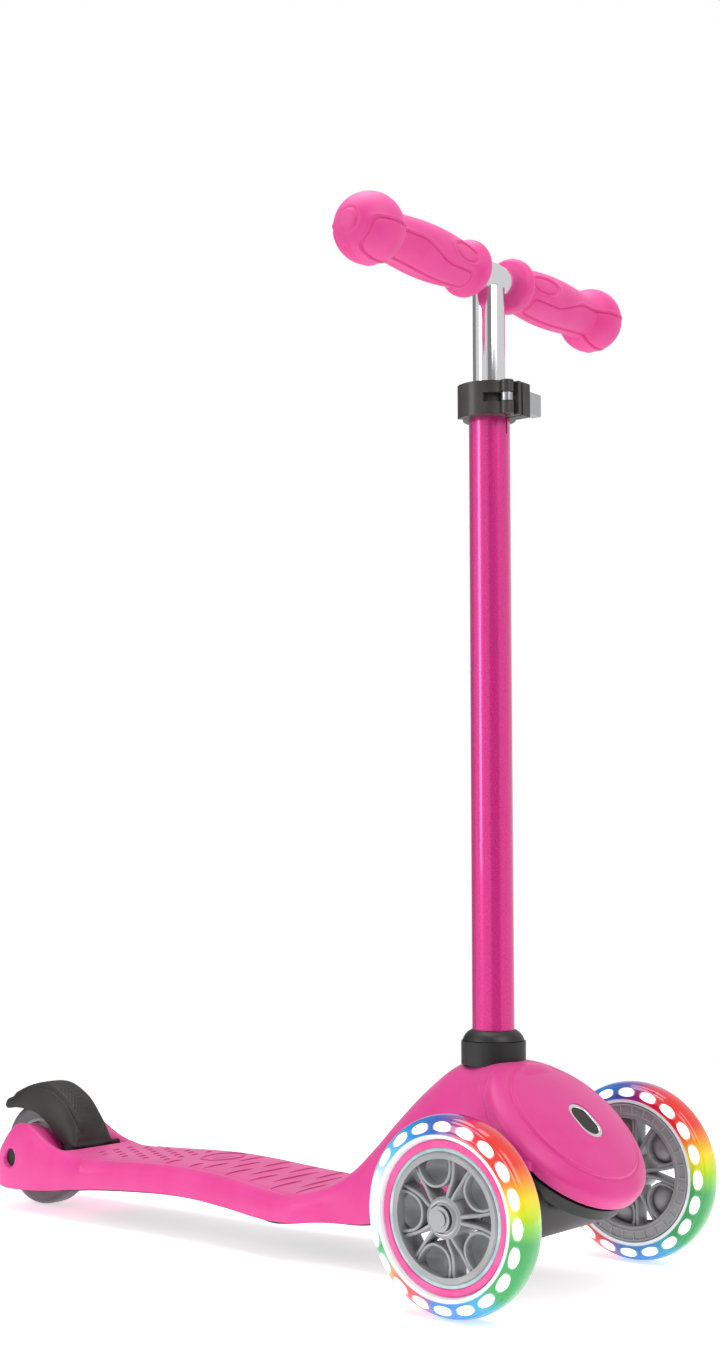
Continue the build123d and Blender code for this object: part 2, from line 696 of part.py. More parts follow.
def rear_hub():
    half = rear_wheel_w / 2
    body = disc(Plane.XY, rear_seat_r, bearing_od / 2 - 2.5, -half + 1.5, half - 1.5)
    for sign in (-1, 1):
        groove = disc(Plane.XY, rear_seat_r - 2.5, boss_r + 1.0, 4.0, half)
        body -= groove if sign > 0 else groove.mirror(Plane.XY)
        seat = disc(Plane.XY, bearing_od / 2, 0, 3.0, half)
        body -= seat if sign > 0 else seat.mirror(Plane.XY)
    return rear_plane * body


def rear_tyre():
    half = rear_wheel_w / 2
    with BuildSketch(Plane.XZ) as profile:
        with BuildLine():
            Line((rear_seat_r, 1.5 - half), (rear_seat_r, half - 1.5))
            Spline((rear_seat_r, half - 1.5), (rear_r - 5, half - 0.4), (rear_r, 0), (rear_r - 5, 0.4 - half),
                   (rear_seat_r, 1.5 - half))
        make_face()
    return rear_plane * revolve(profile.sketch, Axis.Z, 360)


def rear_bearings():
    return Compound(children=[disc(rear_plane, bearing_od / 2, bearing_id / 2 + run_clear, low, low + bearing_w)
                              for low in (-10.0, 3.0)])


def rear_spacer():
    return disc(rear_plane, 6.0, bearing_id / 2 + run_clear, -3.0, 3.0)


def rear_axle():
    """Rear axle bolt with its countersunk button head at the right-hand cheek."""
    shank = disc(rear_plane, axle_d / 2, 0, -cheek_half + 8.0, cheek_half - 8.0 + 4.0)
    return shank + disc(rear_plane, 6.5, 0, -cheek_half + 3.5, -cheek_half + 8.0)


def rear_axle_nut():
    nut = extrude(RegularPolygon(6.5, 6, major_radius=False) - Circle(axle_d / 2), 6.0)
    return rear_plane * Pos(0, 0, cheek_half - 8.0) * nut


def axle_washers():
    """Spacers between the cheeks and the rear bearings."""
    low, high = 10.0 + 0.1, slot_half
    return Compound(children=[disc(rear_plane, 6.2, axle_d / 2, low, high),
                              disc(rear_plane, 6.2, axle_d / 2, -high, -low)])


def brake_pedal():
    """Foot brake: an arched mudguard that tips onto the rear wheel."""
    top = from_axle([(-50.5, 55.5), (-47, 68), (-35, 83), (-18, 93), (-4, 94.5), (12, 91), (29, 84.5), (42, 79.5)])
    under = from_axle([(brake_tail_behind, 75.5), (31, 73.2), (14, 75.5), (-6, 73.5), (-20, 65), (-30, 56.5),
                       (-42, 49), (-46, 44.5), (-51, 45.5), (-52.5, 50)])
    body = yz_solid(top, brake_half, under)
    inner_side = 14.0
    body -= cyl(rear_r + brake_gap + plate_t, 2 * inner_side, (-inner_side, wheelbase, rear_r), (1, 0, 0))
    body -= Pos(0, brake_pin_y, brake_pin_z) * Box(2 * inner_side - 6, 13, 13)
    body -= cyl(brake_pin_r + run_clear, 200, (-100, brake_pin_y, brake_pin_z), (1, 0, 0))
    tail = brake_tail_y - 30
    side_cut = Pos(0, tail, 0) * Box(4 * brake_half, 60, 300, align=(Align.CENTER, Align.MIN, Align.CENTER))
    with BuildSketch() as tongue:
        with BuildLine():
            Polyline((-brake_half, tail), (brake_half, tail), (brake_half, tail + 4))
            Spline((brake_half, tail + 4), (brake_half - 6, brake_tail_y - 7), (0, brake_tail_y),
                   (6 - brake_half, brake_tail_y - 7), (-brake_half, tail + 4))
            Line((-brake_half, tail + 4), (-brake_half, tail))
        make_face()
    return (body - side_cut) + (body & side_cut & extrude(tongue.sketch, 200))


plate_t = 1.6
plate_half = 11.0


def brake_plate():
    """Steel friction plate on the underside of the brake."""
    low, high = rear_r + brake_gap, rear_r + brake_gap + plate_t
    arc = extrude(Plane(origin=(-plate_half, wheelbase, rear_r), x_dir=(0, 1, 0), z_dir=(1, 0, 0)) * (
        Circle(high) - Circle(low)), 2 * plate_half)
    with BuildSketch(Plane.YZ) as wedge:
        with BuildLine():
            spread = [(wheelbase + 80 * math.cos(math.radians(a)), rear_r + 80 * math.sin(math.radians(a)))
                      for a in (78, 105, 140)]
            Polyline((wheelbase, rear_r), *spread, (wheelbase, rear_r))
        make_face()
    return arc & extrude(wedge.sketch, 40, both=True)


def brake_pin():
    return cyl(brake_pin_r, 2 * brake_half + 16, (-brake_half - 8, brake_pin_y, brake_pin_z), (1, 0, 0))


def brake_spring():
    """Return spring on the brake pin, drawn as the envelope of its coils."""
    return ring(4.2, brake_pin_r + 0.3, 20, (-10, brake_pin_y, brake_pin_z), (1, 0, 0))


single_nodes = {
    "deck": deck, "deck_underframe": underframe, "deck_screws": deck_screws, "front_truck": truck,
    "steering_bushes": steering_bushes, "steering_springs": steering_springs, "kingpin": kingpin, "kingpin_nut": kingpin_nut,
    "lock_button": lock_button, "lock_spring": lock_spring, "button_bezel": button_bezel,
    "column_collar": column_collar, "collar_cap": collar_cap, "lower_tube": lower_tube,
    "guide_bush": guide_bush, "clamp_collar": clamp_collar, "clamp_bolt": clamp_bolt, "clamp_nut": clamp_nut,
    "clamp_lever": clamp_lever, "lever_pin": lever_pin, "stem_tube": stem_tube, "stem_plug": stem_plug,
    "crossbar": crossbar, "rear_hub": rear_hub, "rear_tyre": rear_tyre, "rear_bearings": rear_bearings,
    "rear_spacer": rear_spacer, "rear_axle": rear_axle, "rear_axle_nut": rear_axle_nut,
    "axle_washers": axle_washers, "brake_pedal": brake_pedal, "brake_plate": brake_plate,
    "brake_pin": brake_pin, "brake_spring": brake_spring,
}
paired_nodes = {
    "grip": grip, "hub": front_hub, "tyre": front_tyre, "light_ring": light_ring, "trim_ring": trim_ring,
    "bearings": front_bearings, "spacer": front_spacer, "axle_bolt": front_axle_bolt,
}

os.makedirs("parts", exist_ok=True)
for node, make in single_nodes.items():
    export(node, make())
for side_name, side in (("left", 1), ("right", -1)):
    for piece, make in paired_nodes.items():
        export(f"{side_name}_{piece}", make(side))
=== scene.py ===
"""Looks of a lean-to-steer kick scooter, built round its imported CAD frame.

Shapes are worked out in millimetres in the axle frame: front axle over Y = 0, ground at Z = 0, the
scooter facing -Y. to_frame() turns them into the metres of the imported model.
"""
import json
import math
import bmesh
import bpy
import numpy as np
from mathutils import Matrix, Vector


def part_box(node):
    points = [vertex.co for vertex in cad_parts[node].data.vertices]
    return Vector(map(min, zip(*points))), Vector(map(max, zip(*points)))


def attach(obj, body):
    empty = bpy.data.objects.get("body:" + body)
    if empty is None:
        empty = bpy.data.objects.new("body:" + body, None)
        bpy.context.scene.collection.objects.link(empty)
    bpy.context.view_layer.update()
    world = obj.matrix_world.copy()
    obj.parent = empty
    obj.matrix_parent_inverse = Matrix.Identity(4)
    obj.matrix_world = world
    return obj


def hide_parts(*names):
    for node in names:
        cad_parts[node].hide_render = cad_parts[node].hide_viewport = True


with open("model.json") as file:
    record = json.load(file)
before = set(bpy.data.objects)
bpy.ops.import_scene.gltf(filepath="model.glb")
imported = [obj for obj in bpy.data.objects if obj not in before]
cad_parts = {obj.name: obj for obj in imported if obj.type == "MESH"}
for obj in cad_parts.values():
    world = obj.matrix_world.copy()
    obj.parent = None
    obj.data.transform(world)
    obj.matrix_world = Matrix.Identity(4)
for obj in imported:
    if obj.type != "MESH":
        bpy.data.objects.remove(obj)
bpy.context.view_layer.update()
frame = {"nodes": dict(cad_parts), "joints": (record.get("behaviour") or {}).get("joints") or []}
nodes = frame["nodes"]
joints = {j["name"]: j for j in frame["joints"]}


def middle(node):
    """Centre of a node's box, in metres."""
    low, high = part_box(node)
    return (low + high) / 2


# ---------------------------------------------------------------- places read from the frame
hub_at = middle("left_spacer")
rear_at = middle("rear_spacer")
tube_at = middle("lower_tube")
AXLE_Y = hub_at.y
MM = 0.001
X_AXIS, Y_AXIS = np.eye(3)[:2]
TRACK = hub_at.x / MM
FRONT_Z = hub_at.z / MM
REAR_Y = (rear_at.y - AXLE_Y) / MM
REAR_Z = rear_at.z / MM
COLUMN_Y = (tube_at.y - AXLE_Y) / MM
BAR_Z = middle("crossbar").z / MM
steer = joints["steer_lean"]
NOSE_AT = np.array([0.0, (steer["pos_m"][1] - AXLE_Y) / MM, steer["pos_m"][2] / MM])
NOSE_UP = np.array(steer["axis"]) / np.linalg.norm(steer["axis"])
NOSE_DOWN_SLOPE = np.array([0.0, -NOSE_UP[2], NOSE_UP[1]])


def to_frame(points):
    """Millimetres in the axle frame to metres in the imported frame."""
    moved = np.asarray(points, float) * MM
    return moved + np.array([0.0, AXLE_Y, 0.0])


# ---------------------------------------------------------------- numpy surfaces
def smooth(x, low, high):
    """0 below low, 1 above high, an S-shaped cubic between."""
    t = np.clip((np.asarray(x, float) - low) / (high - low), 0.0, 1.0)
    return t * t * (3 - 2 * t)


def through(rows, count):
    """Points on a Catmull-Rom curve through the rows, evenly spread over the row number."""
    rows = np.asarray(rows, float)
    padded = np.vstack([2 * rows[0] - rows[1], rows, 2 * rows[-1] - rows[-2]])
    place = np.linspace(0, len(rows) - 1, count)
    k = np.minimum(place.astype(int), len(rows) - 2)
    t = (place - k)[:, None]
    a, b, c, d = padded[k], padded[k + 1], padded[k + 2], padded[k + 3]
    return 0.5 * (2 * b + (c - a) * t + (2 * a - 5 * b + 4 * c - d) * t ** 2
                  + (3 * b - a - 3 * c + d) * t ** 3)


def signed_power(x, power):
    """|x| to a power, with the sign of x: it squares up or flattens a cosine."""
    return np.sign(x) * np.abs(x) ** power


def grid_faces(rows, columns, wrap_rows):
    """Quads of a grid of points numbered row by row, joined up along each row."""
    i = np.arange(rows if wrap_rows else rows - 1)[:, None]
    j = np.arange(columns)[None, :]
    i2, j2 = (i + 1) % rows, (j + 1) % columns
    quads = np.stack([i * columns + j, i * columns + j2, i2 * columns + j2, i2 * columns + j], -1)
    return quads.reshape(-1, 4)


class Shell:
    """Closed bodies gathered into one mesh, each given as a grid of points of shape (rows, columns, 3)."""

    def __init__(self):
        self.points, self.quads, self.caps = [], [], []
        self.count = 0

    def ring(self, points):
        """Add a grid that is joined up both ways."""
        rows, columns = points.shape[:2]
        self.quads.append(grid_faces(rows, columns, True) + self.count)
        self.points.append(points.reshape(-1, 3))
        self.count += rows * columns
        return self

    def solid(self, points):
        """Add a grid of rings one after another, with a fan over the first and the last."""
        rows, columns = points.shape[:2]
        self.quads.append(grid_faces(rows, columns, False) + self.count)
        first = self.count + np.arange(columns)
        last = first + (rows - 1) * columns
        hub = np.full(columns, self.count + rows * columns)
        self.caps.append(np.stack([hub, np.roll(first, -1), first], -1))
        self.caps.append(np.stack([hub + 1, last, np.roll(last, -1)], -1))
        self.points.append(np.vstack([points.reshape(-1, 3), points[0].mean(0), points[-1].mean(0)]))
        self.count += rows * columns + 2
        return self

    def mesh(self, name):
        """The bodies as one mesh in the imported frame."""
        points = to_frame(np.vstack(self.points))
        faces = [f for block in self.quads + self.caps for f in block.tolist()]
        data = bpy.data.meshes.new(name)
        data.from_pydata(points.tolist(), [], faces)
        data.validate()
        return data


def add_piece(name, data, material, body, replaced=(), sharp=35.0):
    """Link a mesh as a piece that rides on a body and takes the given material."""
    piece = bpy.data.objects.new(name, data)
    bpy.context.scene.collection.objects.link(piece)
    outward(data)
    data.materials.clear()
    data.materials.append(material)
    data.shade_smooth()
    data.set_sharp_from_angle(angle=math.radians(sharp))
    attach(piece, body)
    if replaced:
        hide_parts(*replaced)
    return piece


def outward(data):
    """Merge doubles and point the faces outwards."""
    work = bmesh.new()
    work.from_mesh(data)
    bmesh.ops.remove_doubles(work, verts=work.verts, dist=1e-6)
    bmesh.ops.recalc_face_normals(work, faces=work.faces)
    work.to_mesh(data)
    work.free()


def carve(data, tools, operation):
    """Boolean of closed meshes, made at once."""
    holder = bpy.data.objects.new("carve", data)
    bpy.context.scene.collection.objects.link(holder)
    outward(data)
    helpers = []
    for tool in tools:
        outward(tool)
        helper = bpy.data.objects.new("tool", tool)
        bpy.context.scene.collection.objects.link(helper)
        cut = holder.modifiers.new("cut", "BOOLEAN")
        cut.operation = operation
        cut.solver = "MANIFOLD"
        cut.object = helper
        helpers.append(helper)
    graph = bpy.context.evaluated_depsgraph_get()
    result = bpy.data.meshes.new_from_object(holder.evaluated_get(graph))
    for gone in helpers + [holder]:
        bpy.data.objects.remove(gone)
    return result


def lathe(profile, centre, axis, across, columns):
    """Surface of revolution: profile rows are (distance along axis, radius), turned about axis."""
    profile = np.asarray(profile, float)
    axis, across = np.asarray(axis, float), np.asarray(across, float)
    third = np.cross(axis, across)
    angle = np.linspace(0, 2 * math.pi, columns, endpoint=False)
    ring = np.cos(angle)[:, None] * across + np.sin(angle)[:, None] * third
    return np.asarray(centre) + profile[:, 0, None, None] * axis + profile[:, 1, None, None] * ring[None]


def rounded(outline, radius, steps=4):
    """A closed outline of (along, radius) corners, each corner turned into a short arc."""
    outline = np.asarray(outline, float)
    radius = np.broadcast_to(radius, len(outline))
    points = []
    for k, corner in enumerate(outline):
        before, after = outline[k - 1] - corner, outline[(k + 1) % len(outline)] - corner
        reach = min(radius[k], 0.45 * np.linalg.norm(before), 0.45 * np.linalg.norm(after))
        if reach <= 0:
            points.append(corner)
            continue
        start = corner + before / np.linalg.norm(before) * reach
        end = corner + after / np.linalg.norm(after) * reach
        t = np.linspace(0, 1, steps + 1)[:, None]
        points.extend((1 - t) ** 2 * start + 2 * t * (1 - t) * corner + t ** 2 * end)
    return np.array(points)


def tube(path, width, depth, side, columns=20, power=5.0):
    """A bar with a rounded-square section carried along a path; side is the section's depth direction."""
    path = np.asarray(path, float)
    ahead = np.gradient(path, axis=0)
    ahead /= np.linalg.norm(ahead, axis=1)[:, None]
    side = np.asarray(side, float) / np.linalg.norm(side)
    across = np.cross(ahead, side)
    across /= np.linalg.norm(across, axis=1)[:, None]
    angle = np.linspace(0, 2 * math.pi, columns, endpoint=False)
    u = signed_power(np.cos(angle), 2 / power)
    v = signed_power(np.sin(angle), 2 / power)
    width = np.broadcast_to(width, len(path))[:, None, None]
    depth = np.broadcast_to(depth, len(path))[:, None, None]
    return (path[:, None] + across[:, None] * u[None, :, None] * width / 2
            + side * v[None, :, None] * depth / 2)


# ---------------------------------------------------------------- materials
def colour(code):
    """sRGB hex to linear RGBA."""
    parts = [int(code[i:i + 2], 16) / 255 for i in (1, 3, 5)]
    linear = [c / 12.92 if c <= 0.04045 else ((c + 0.055) / 1.055) ** 2.4 for c in parts]
    return (*linear, 1.0)


def add(tree, kind, inputs=None, **settings):
    """Add a node with its settings; inputs gives a value, or another node's output, for each socket."""
    made = tree.nodes.new(kind)
    for key, value in settings.items():
        setattr(made, key, value)
    for key, value in (inputs or {}).items():
        if isinstance(value, bpy.types.NodeSocket):
            tree.links.new(value, made.inputs[key])
        else:
            made.inputs[key].default_value = value
    return made


def start(name):
    """A new material: its tree, its shader and its object coordinates."""
    material = bpy.data.materials.new(name)
    material.use_nodes = True
    tree = material.node_tree
    return material, tree, tree.nodes["Principled BSDF"], add(tree, "ShaderNodeTexCoord").outputs["Object"]


def shader(bsdf, **values):
    """Set plain values on the shader; underscores stand for spaces."""
    for key, value in values.items():
        bsdf.inputs[key.replace("_", " ")].default_value = value


def speckle(tree, where, size_mm, detail):
    """Noise with patches of the given size; detail adds smaller ones inside them."""
    noise = add(tree, "ShaderNodeTexNoise", {"Vector": where, "Scale": 1000 / size_mm, "Detail": detail})
    return noise.outputs["Fac"]


def two_tone(tree, bsdf, where, first, second, size_mm, blend=(0.35, 0.65), detail=3.0):
    """Faint drift between two colours, with patches of the given size."""
    ramp = add(tree, "ShaderNodeValToRGB", {"Fac": speckle(tree, where, size_mm, detail)})
    for element, place, code in zip(ramp.color_ramp.elements, blend, (first, second)):
        element.position = place
        element.color = colour(code)
    tree.links.new(ramp.outputs["Color"], bsdf.inputs["Base Color"])


def vary_gloss(tree, bsdf, noise, low, high):
    """Roughness that follows a noise."""
    spread = add(tree, "ShaderNodeMapRange", {"Value": noise, "To Min": low, "To Max": high})
    tree.links.new(spread.outputs["Result"], bsdf.inputs["Roughness"])


def press(tree, bsdf, noise, height_mm, strength=1.0):
    """Bump of the given depth that follows a noise."""
    bump = add(tree, "ShaderNodeBump", {"Height": noise, "Distance": height_mm * MM, "Strength": strength})
    tree.links.new(bump.outputs["Normal"], bsdf.inputs["Normal"])


def grain(tree, bsdf, where, size_mm, height_mm, rough):
    """Fine bump of the given grain size and depth, with a gloss that varies between rough's two values."""
    noise = speckle(tree, where, size_mm, 2.0)
    press(tree, bsdf, noise, height_mm)
    vary_gloss(tree, bsdf, noise, *rough)


# how far light travels inside the pink plastics, for red, green and blue, in metres
PINK_SCATTER = (0.004, 0.0012, 0.002)


def moulded_polypropylene(name, dark, light):
    """Satin pink polypropylene: even colour, broad soft highlights, a very fine spark-eroded grain."""
    material, tree, bsdf, where = start(name)
    two_tone(tree, bsdf, where, dark, light, 40.0)
    grain(tree, bsdf, where, 0.7, 0.02, rough=(0.36, 0.46))
    shader(bsdf, IOR=1.49, Subsurface_Weight=0.08, Subsurface_Radius=PINK_SCATTER, Subsurface_Scale=1.0,
           Sheen_Weight=0.22, Sheen_Roughness=0.4)
    return material


def soft_grip_elastomer():
    """Matt pink elastomer of the grips: softer highlights than the deck, and a faint skin grain."""
    material, tree, bsdf, where = start("soft_grip_elastomer_pink")
    two_tone(tree, bsdf, where, "#ee3f97", "#f24aa0", 25.0)
    grain(tree, bsdf, where, 0.5, 0.03, rough=(0.42, 0.54))
    shader(bsdf, IOR=1.5, Subsurface_Weight=0.1, Subsurface_Radius=PINK_SCATTER, Subsurface_Scale=1.0,
           Sheen_Weight=0.12, Sheen_Roughness=0.5)
    return material


def lacquered_tube():
    """Candy lacquer over bright aluminium: a deep magenta metal with sharp upright reflections."""
    material, tree, bsdf, where = start("candy_lacquer_magenta")
    two_tone(tree, bsdf, where, "#e4168a", "#f03a9c", 0.8, blend=(0.35, 0.7), detail=1.0)
    shader(bsdf, Metallic=0.45, Roughness=0.26, Coat_Weight=1.0, Coat_Roughness=0.05)
    return material


def gloss_trim():
    """Glossy pink trim plastic of the wheel rings."""
    material, tree, bsdf, where = start("gloss_abs_pink")
    two_tone(tree, bsdf, where, "#e8408f", "#ee5a9f", 15.0)
    shader(bsdf, Roughness=0.22, IOR=1.53)
    return material


def matt_nylon(name, dark, light, rough, size_mm=0.6):
    """Glass-filled nylon: nearly even colour under a fine matt grain that catches light along edges."""
    material, tree, bsdf, where = start(name)
    two_tone(tree, bsdf, where, dark, light, 20.0)
    grain(tree, bsdf, where, size_mm, 0.03, rough=rough)
    shader(bsdf, IOR=1.53)
    return material


def chrome_plate():
    """Polished chrome: mirror-like, with a trace of polishing marks round the tube."""
    material, tree, bsdf, where = start("polished_chrome_plate")
    vary_gloss(tree, bsdf, speckle(tree, where, 12.0, 3.0), 0.05, 0.12)
    shader(bsdf, Base_Color=colour("#f6f6f8"), Metallic=1.0)
    return material


def bare_metal(name, code, low, high, size_mm):
    """Plain metal with a fine drawn or brushed grain along its length."""
    material, tree, bsdf, where = start(name)
    stretch = add(tree, "ShaderNodeMapping", {"Vector": where, "Scale": (1.0, 1.0, 0.12)})
    noise = speckle(tree, stretch.outputs["Vector"], size_mm, 3.0)
    vary_gloss(tree, bsdf, noise, low, high)
    press(tree, bsdf, noise, 0.02, strength=0.6)
    shader(bsdf, Base_Color=colour(code), Metallic=1.0)
    return material


def turn_about(tree, where, centre_mm):
    """Share of a turn round a wheel's axle, distance from the axle and distance along it, in metres."""
    at = to_frame(centre_mm)
    moved = add(tree, "ShaderNodeVectorMath", {0: where, 1: tuple(at)}, operation="SUBTRACT")
    split = add(tree, "ShaderNodeSeparateXYZ", {"Vector": moved.outputs["Vector"]})
    angle = add(tree, "ShaderNodeMath", {0: split.outputs["Z"], 1: split.outputs["Y"]}, operation="ARCTAN2")
    share = add(tree, "ShaderNodeMath", {0: angle.outputs["Value"], 1: 1 / (2 * math.pi), 2: 0.5},
                operation="MULTIPLY_ADD")
    flat = add(tree, "ShaderNodeCombineXYZ", {"Y": split.outputs["Y"], "Z": split.outputs["Z"]})
    reach = add(tree, "ShaderNodeVectorMath", {0: flat.outputs["Vector"]}, operation="LENGTH")
    return share.outputs["Value"], reach.outputs["Value"], split.outputs["X"]


# lamp colours round the tyre as shares of a turn: 0 front, 0.25 bottom, 0.5 rear, 0.75 top
LAMP_COLOURS = [
    (0.00, "#7cc822"), (0.025, "#109a44"), (0.13, "#0c9a4a"), (0.165, "#1aa0c0"), (0.20, "#1088d4"),
    (0.27, "#0a70c0"), (0.31, "#e03a50"), (0.36, "#ea4a28"), (0.405, "#7cc488"), (0.43, "#1a9a58"),
    (0.47, "#cfeee2"), (0.54, "#dff2f8"), (0.62, "#58b8e0"), (0.68, "#1088d0"), (0.735, "#1650b0"),
    (0.765, "#7a2c90"), (0.795, "#d01c50"), (0.84, "#e01c14"), (0.90, "#e4301a"), (0.925, "#f08a20"),
    (0.955, "#f4d824"), (0.98, "#c8dc24"), (1.0, "#7cc822")]


# lamps round a tyre, their radius, how far a dash reaches from it, and where the pale ring of painted highlight
# starts and is full
LAMPS, LAMP_RADIUS, DASH_REACH = 20, 53.6, 2.9
PAINTED_HIGHLIGHT_FROM, PAINTED_HIGHLIGHT_TO = 49.4, 48.2


def lit_tyre(name, centre_mm):
    """Clear cast polyurethane over coloured lamps: bands of colour round the tread, glowing white dashes over
    the lamps and a pale ring of painted highlight where the tyre meets its carrier."""
    material, tree, bsdf, where = start(name)
    share, reach, along = turn_about(tree, where, centre_mm)
    ramp = add(tree, "ShaderNodeValToRGB", {"Fac": share})
    stops = ramp.color_ramp.elements
    while len(stops) < len(LAMP_COLOURS):
        stops.new(0.5)
    for stop, (place, code) in zip(stops, LAMP_COLOURS):
        stop.position = place
        stop.color = colour(code)
    # dashes: a wave round the tyre less the fourth power of the distance from the lamps' radius
    wave = add(tree, "ShaderNodeMath", {0: share, 1: 2 * math.pi * LAMPS}, operation="MULTIPLY")
    crest = add(tree, "ShaderNodeMath", {0: wave.outputs["Value"]}, operation="COSINE")
    off = add(tree, "ShaderNodeMath", {0: reach, 1: 1 / (DASH_REACH * MM), 2: -LAMP_RADIUS / DASH_REACH},
              operation="MULTIPLY_ADD")
    drop = add(tree, "ShaderNodeMath", {0: off.outputs["Value"], 1: 4.0}, operation="POWER")
    fade = add(tree, "ShaderNodeMath", {0: drop.outputs["Value"], 1: -1.59, 2: 0.59},
               operation="MULTIPLY_ADD")
    spot = add(tree, "ShaderNodeMath", {0: fade.outputs["Value"], 1: crest.outputs["Value"]}, operation="ADD")
    glow = add(tree, "ShaderNodeMapRange", {"Value": spot.outputs["Value"], "From Min": -0.4,
                                            "From Max": 0.4}, interpolation_type="SMOOTHSTEP")
    # painted highlight: the tyre is paled towards its seat, standing in for highlights inside the clear
    # polyurethane
    inner = add(tree, "ShaderNodeMapRange", {"Value": reach, "From Min": PAINTED_HIGHLIGHT_FROM * MM,
                                             "From Max": PAINTED_HIGHLIGHT_TO * MM}, interpolation_type="SMOOTHSTEP")
    pale = add(tree, "ShaderNodeMix", {"Factor": inner.outputs["Result"], 6: ramp.outputs["Color"],
                                       7: colour("#eef8fb")}, data_type="RGBA")
    shown = add(tree, "ShaderNodeMix", {"Factor": glow.outputs["Result"], 6: pale.outputs[2],
                                        7: colour("#ffffff")}, data_type="RGBA")
    tree.links.new(shown.outputs[2], bsdf.inputs["Base Color"])
    tree.links.new(shown.outputs[2], bsdf.inputs["Emission Color"])
    power = add(tree, "ShaderNodeMapRange", {"Value": glow.outputs["Result"], "To Min": 0.06, "To Max": 0.8})
    tree.links.new(power.outputs["Result"], bsdf.inputs["Emission Strength"])
    shader(bsdf, Roughness=0.18, IOR=1.5, Coat_Weight=0.8, Coat_Roughness=0.04)
    return material


def lamp_carrier(name):
    """Clear polycarbonate ring of the lamps: pale blue-green, glossy."""
    material, tree, bsdf, where = start(name)
    two_tone(tree, bsdf, where, "#8fb4b8", "#b9d4d6", 12.0)
    shader(bsdf, Roughness=0.15, IOR=1.58, Coat_Weight=0.6, Coat_Roughness=0.05)
    return material


pink = moulded_polypropylene("moulded_polypropylene_pink", "#d82e89", "#de3b92")
# the same moulding on its fine raised ribs, painted a deeper pink: painted shade along the ribs
rib_pink_painted_shade = moulded_polypropylene("moulded_polypropylene_pink_ribs_painted_shade", "#c0287c", "#c83486")
grip_pink = soft_grip_elastomer()
lacquer = lacquered_tube()
trim_pink = gloss_trim()
black_nylon = matt_nylon("moulded_nylon_black", "#101010", "#171717", (0.34, 0.48))
dark_nylon = matt_nylon("moulded_nylon_dark_grey", "#1a1815", "#23211d", (0.44, 0.58))
clamp_nylon = matt_nylon("die_cast_lacquer_dark_grey", "#34312f", "#3f3c3a", (0.26, 0.38))
hub_nylon = matt_nylon("moulded_nylon_mid_grey", "#939497", "#a3a4a7", (0.26, 0.38))
pale_nylon = matt_nylon("natural_nylon", "#d8d5cb", "#e2dfd6", (0.4, 0.5))
rear_polyurethane = matt_nylon("cast_polyurethane_grey", "#4e4e50", "#5a5a5c", (0.3, 0.42), 0.9)
chrome = chrome_plate()
aluminium = bare_metal("brushed_aluminium", "#c9cbce", 0.22, 0.38, 0.5)
zinc = bare_metal("zinc_plated_steel", "#b4b6ba", 0.25, 0.42, 0.7)
dark_steel = bare_metal("black_oxide_steel", "#3a3a3c", 0.35, 0.5, 0.7)
bolt_steel = bare_metal("satin_nickel_steel", "#9c9da0", 0.3, 0.45, 0.7)
spring_wire = bare_metal("drawn_spring_steel", "#9a9ca0", 0.2, 0.35, 0.4)
carrier_clear = lamp_carrier("clear_polycarbonate")
tyre_looks = {side: lit_tyre(f"clear_polyurethane_lit_{side}", (sign * TRACK, 0, FRONT_Z))
              for side, sign in (("left", 1), ("right", -1))}

# a first finish for every CAD node; the pieces further down stand in for some of them
NODE_LOOKS = {
    "deck": pink, "deck_underframe": black_nylon, "deck_screws": zinc, "front_truck": black_nylon,
    "steering_bushes": pale_nylon, "steering_springs": spring_wire, "kingpin": zinc, "kingpin_nut": zinc,
    "lock_button": dark_nylon, "lock_spring": spring_wire, "button_bezel": chrome,
    "column_collar": black_nylon, "collar_cap": black_nylon, "lower_tube": lacquer,
    "guide_bush": pale_nylon, "clamp_collar": clamp_nylon, "clamp_lever": clamp_nylon,
    "clamp_bolt": zinc, "clamp_nut": aluminium, "lever_pin": zinc, "stem_tube": chrome,
    "stem_plug": pale_nylon, "crossbar": chrome, "rear_hub": hub_nylon, "rear_tyre": rear_polyurethane,
    "rear_bearings": zinc, "rear_spacer": aluminium, "rear_axle": dark_steel,
    "rear_axle_nut": dark_steel, "axle_washers": zinc, "brake_pedal": dark_nylon,
    "brake_plate": dark_steel, "brake_pin": dark_steel, "brake_spring": dark_steel,
}
for side in ("left", "right"):
    NODE_LOOKS.update({
        f"{side}_bearings": zinc, f"{side}_spacer": aluminium, f"{side}_axle_bolt": bolt_steel,
        f"{side}_hub": hub_nylon, f"{side}_light_ring": carrier_clear, f"{side}_trim_ring": trim_pink,
        f"{side}_tyre": tyre_looks[side], f"{side}_grip": grip_pink})
for name, look in NODE_LOOKS.items():
    node = nodes[name]
    if not node.material_slots:
        node.data.materials.append(look)
    for material_slot in node.material_slots:
        material_slot.material = look

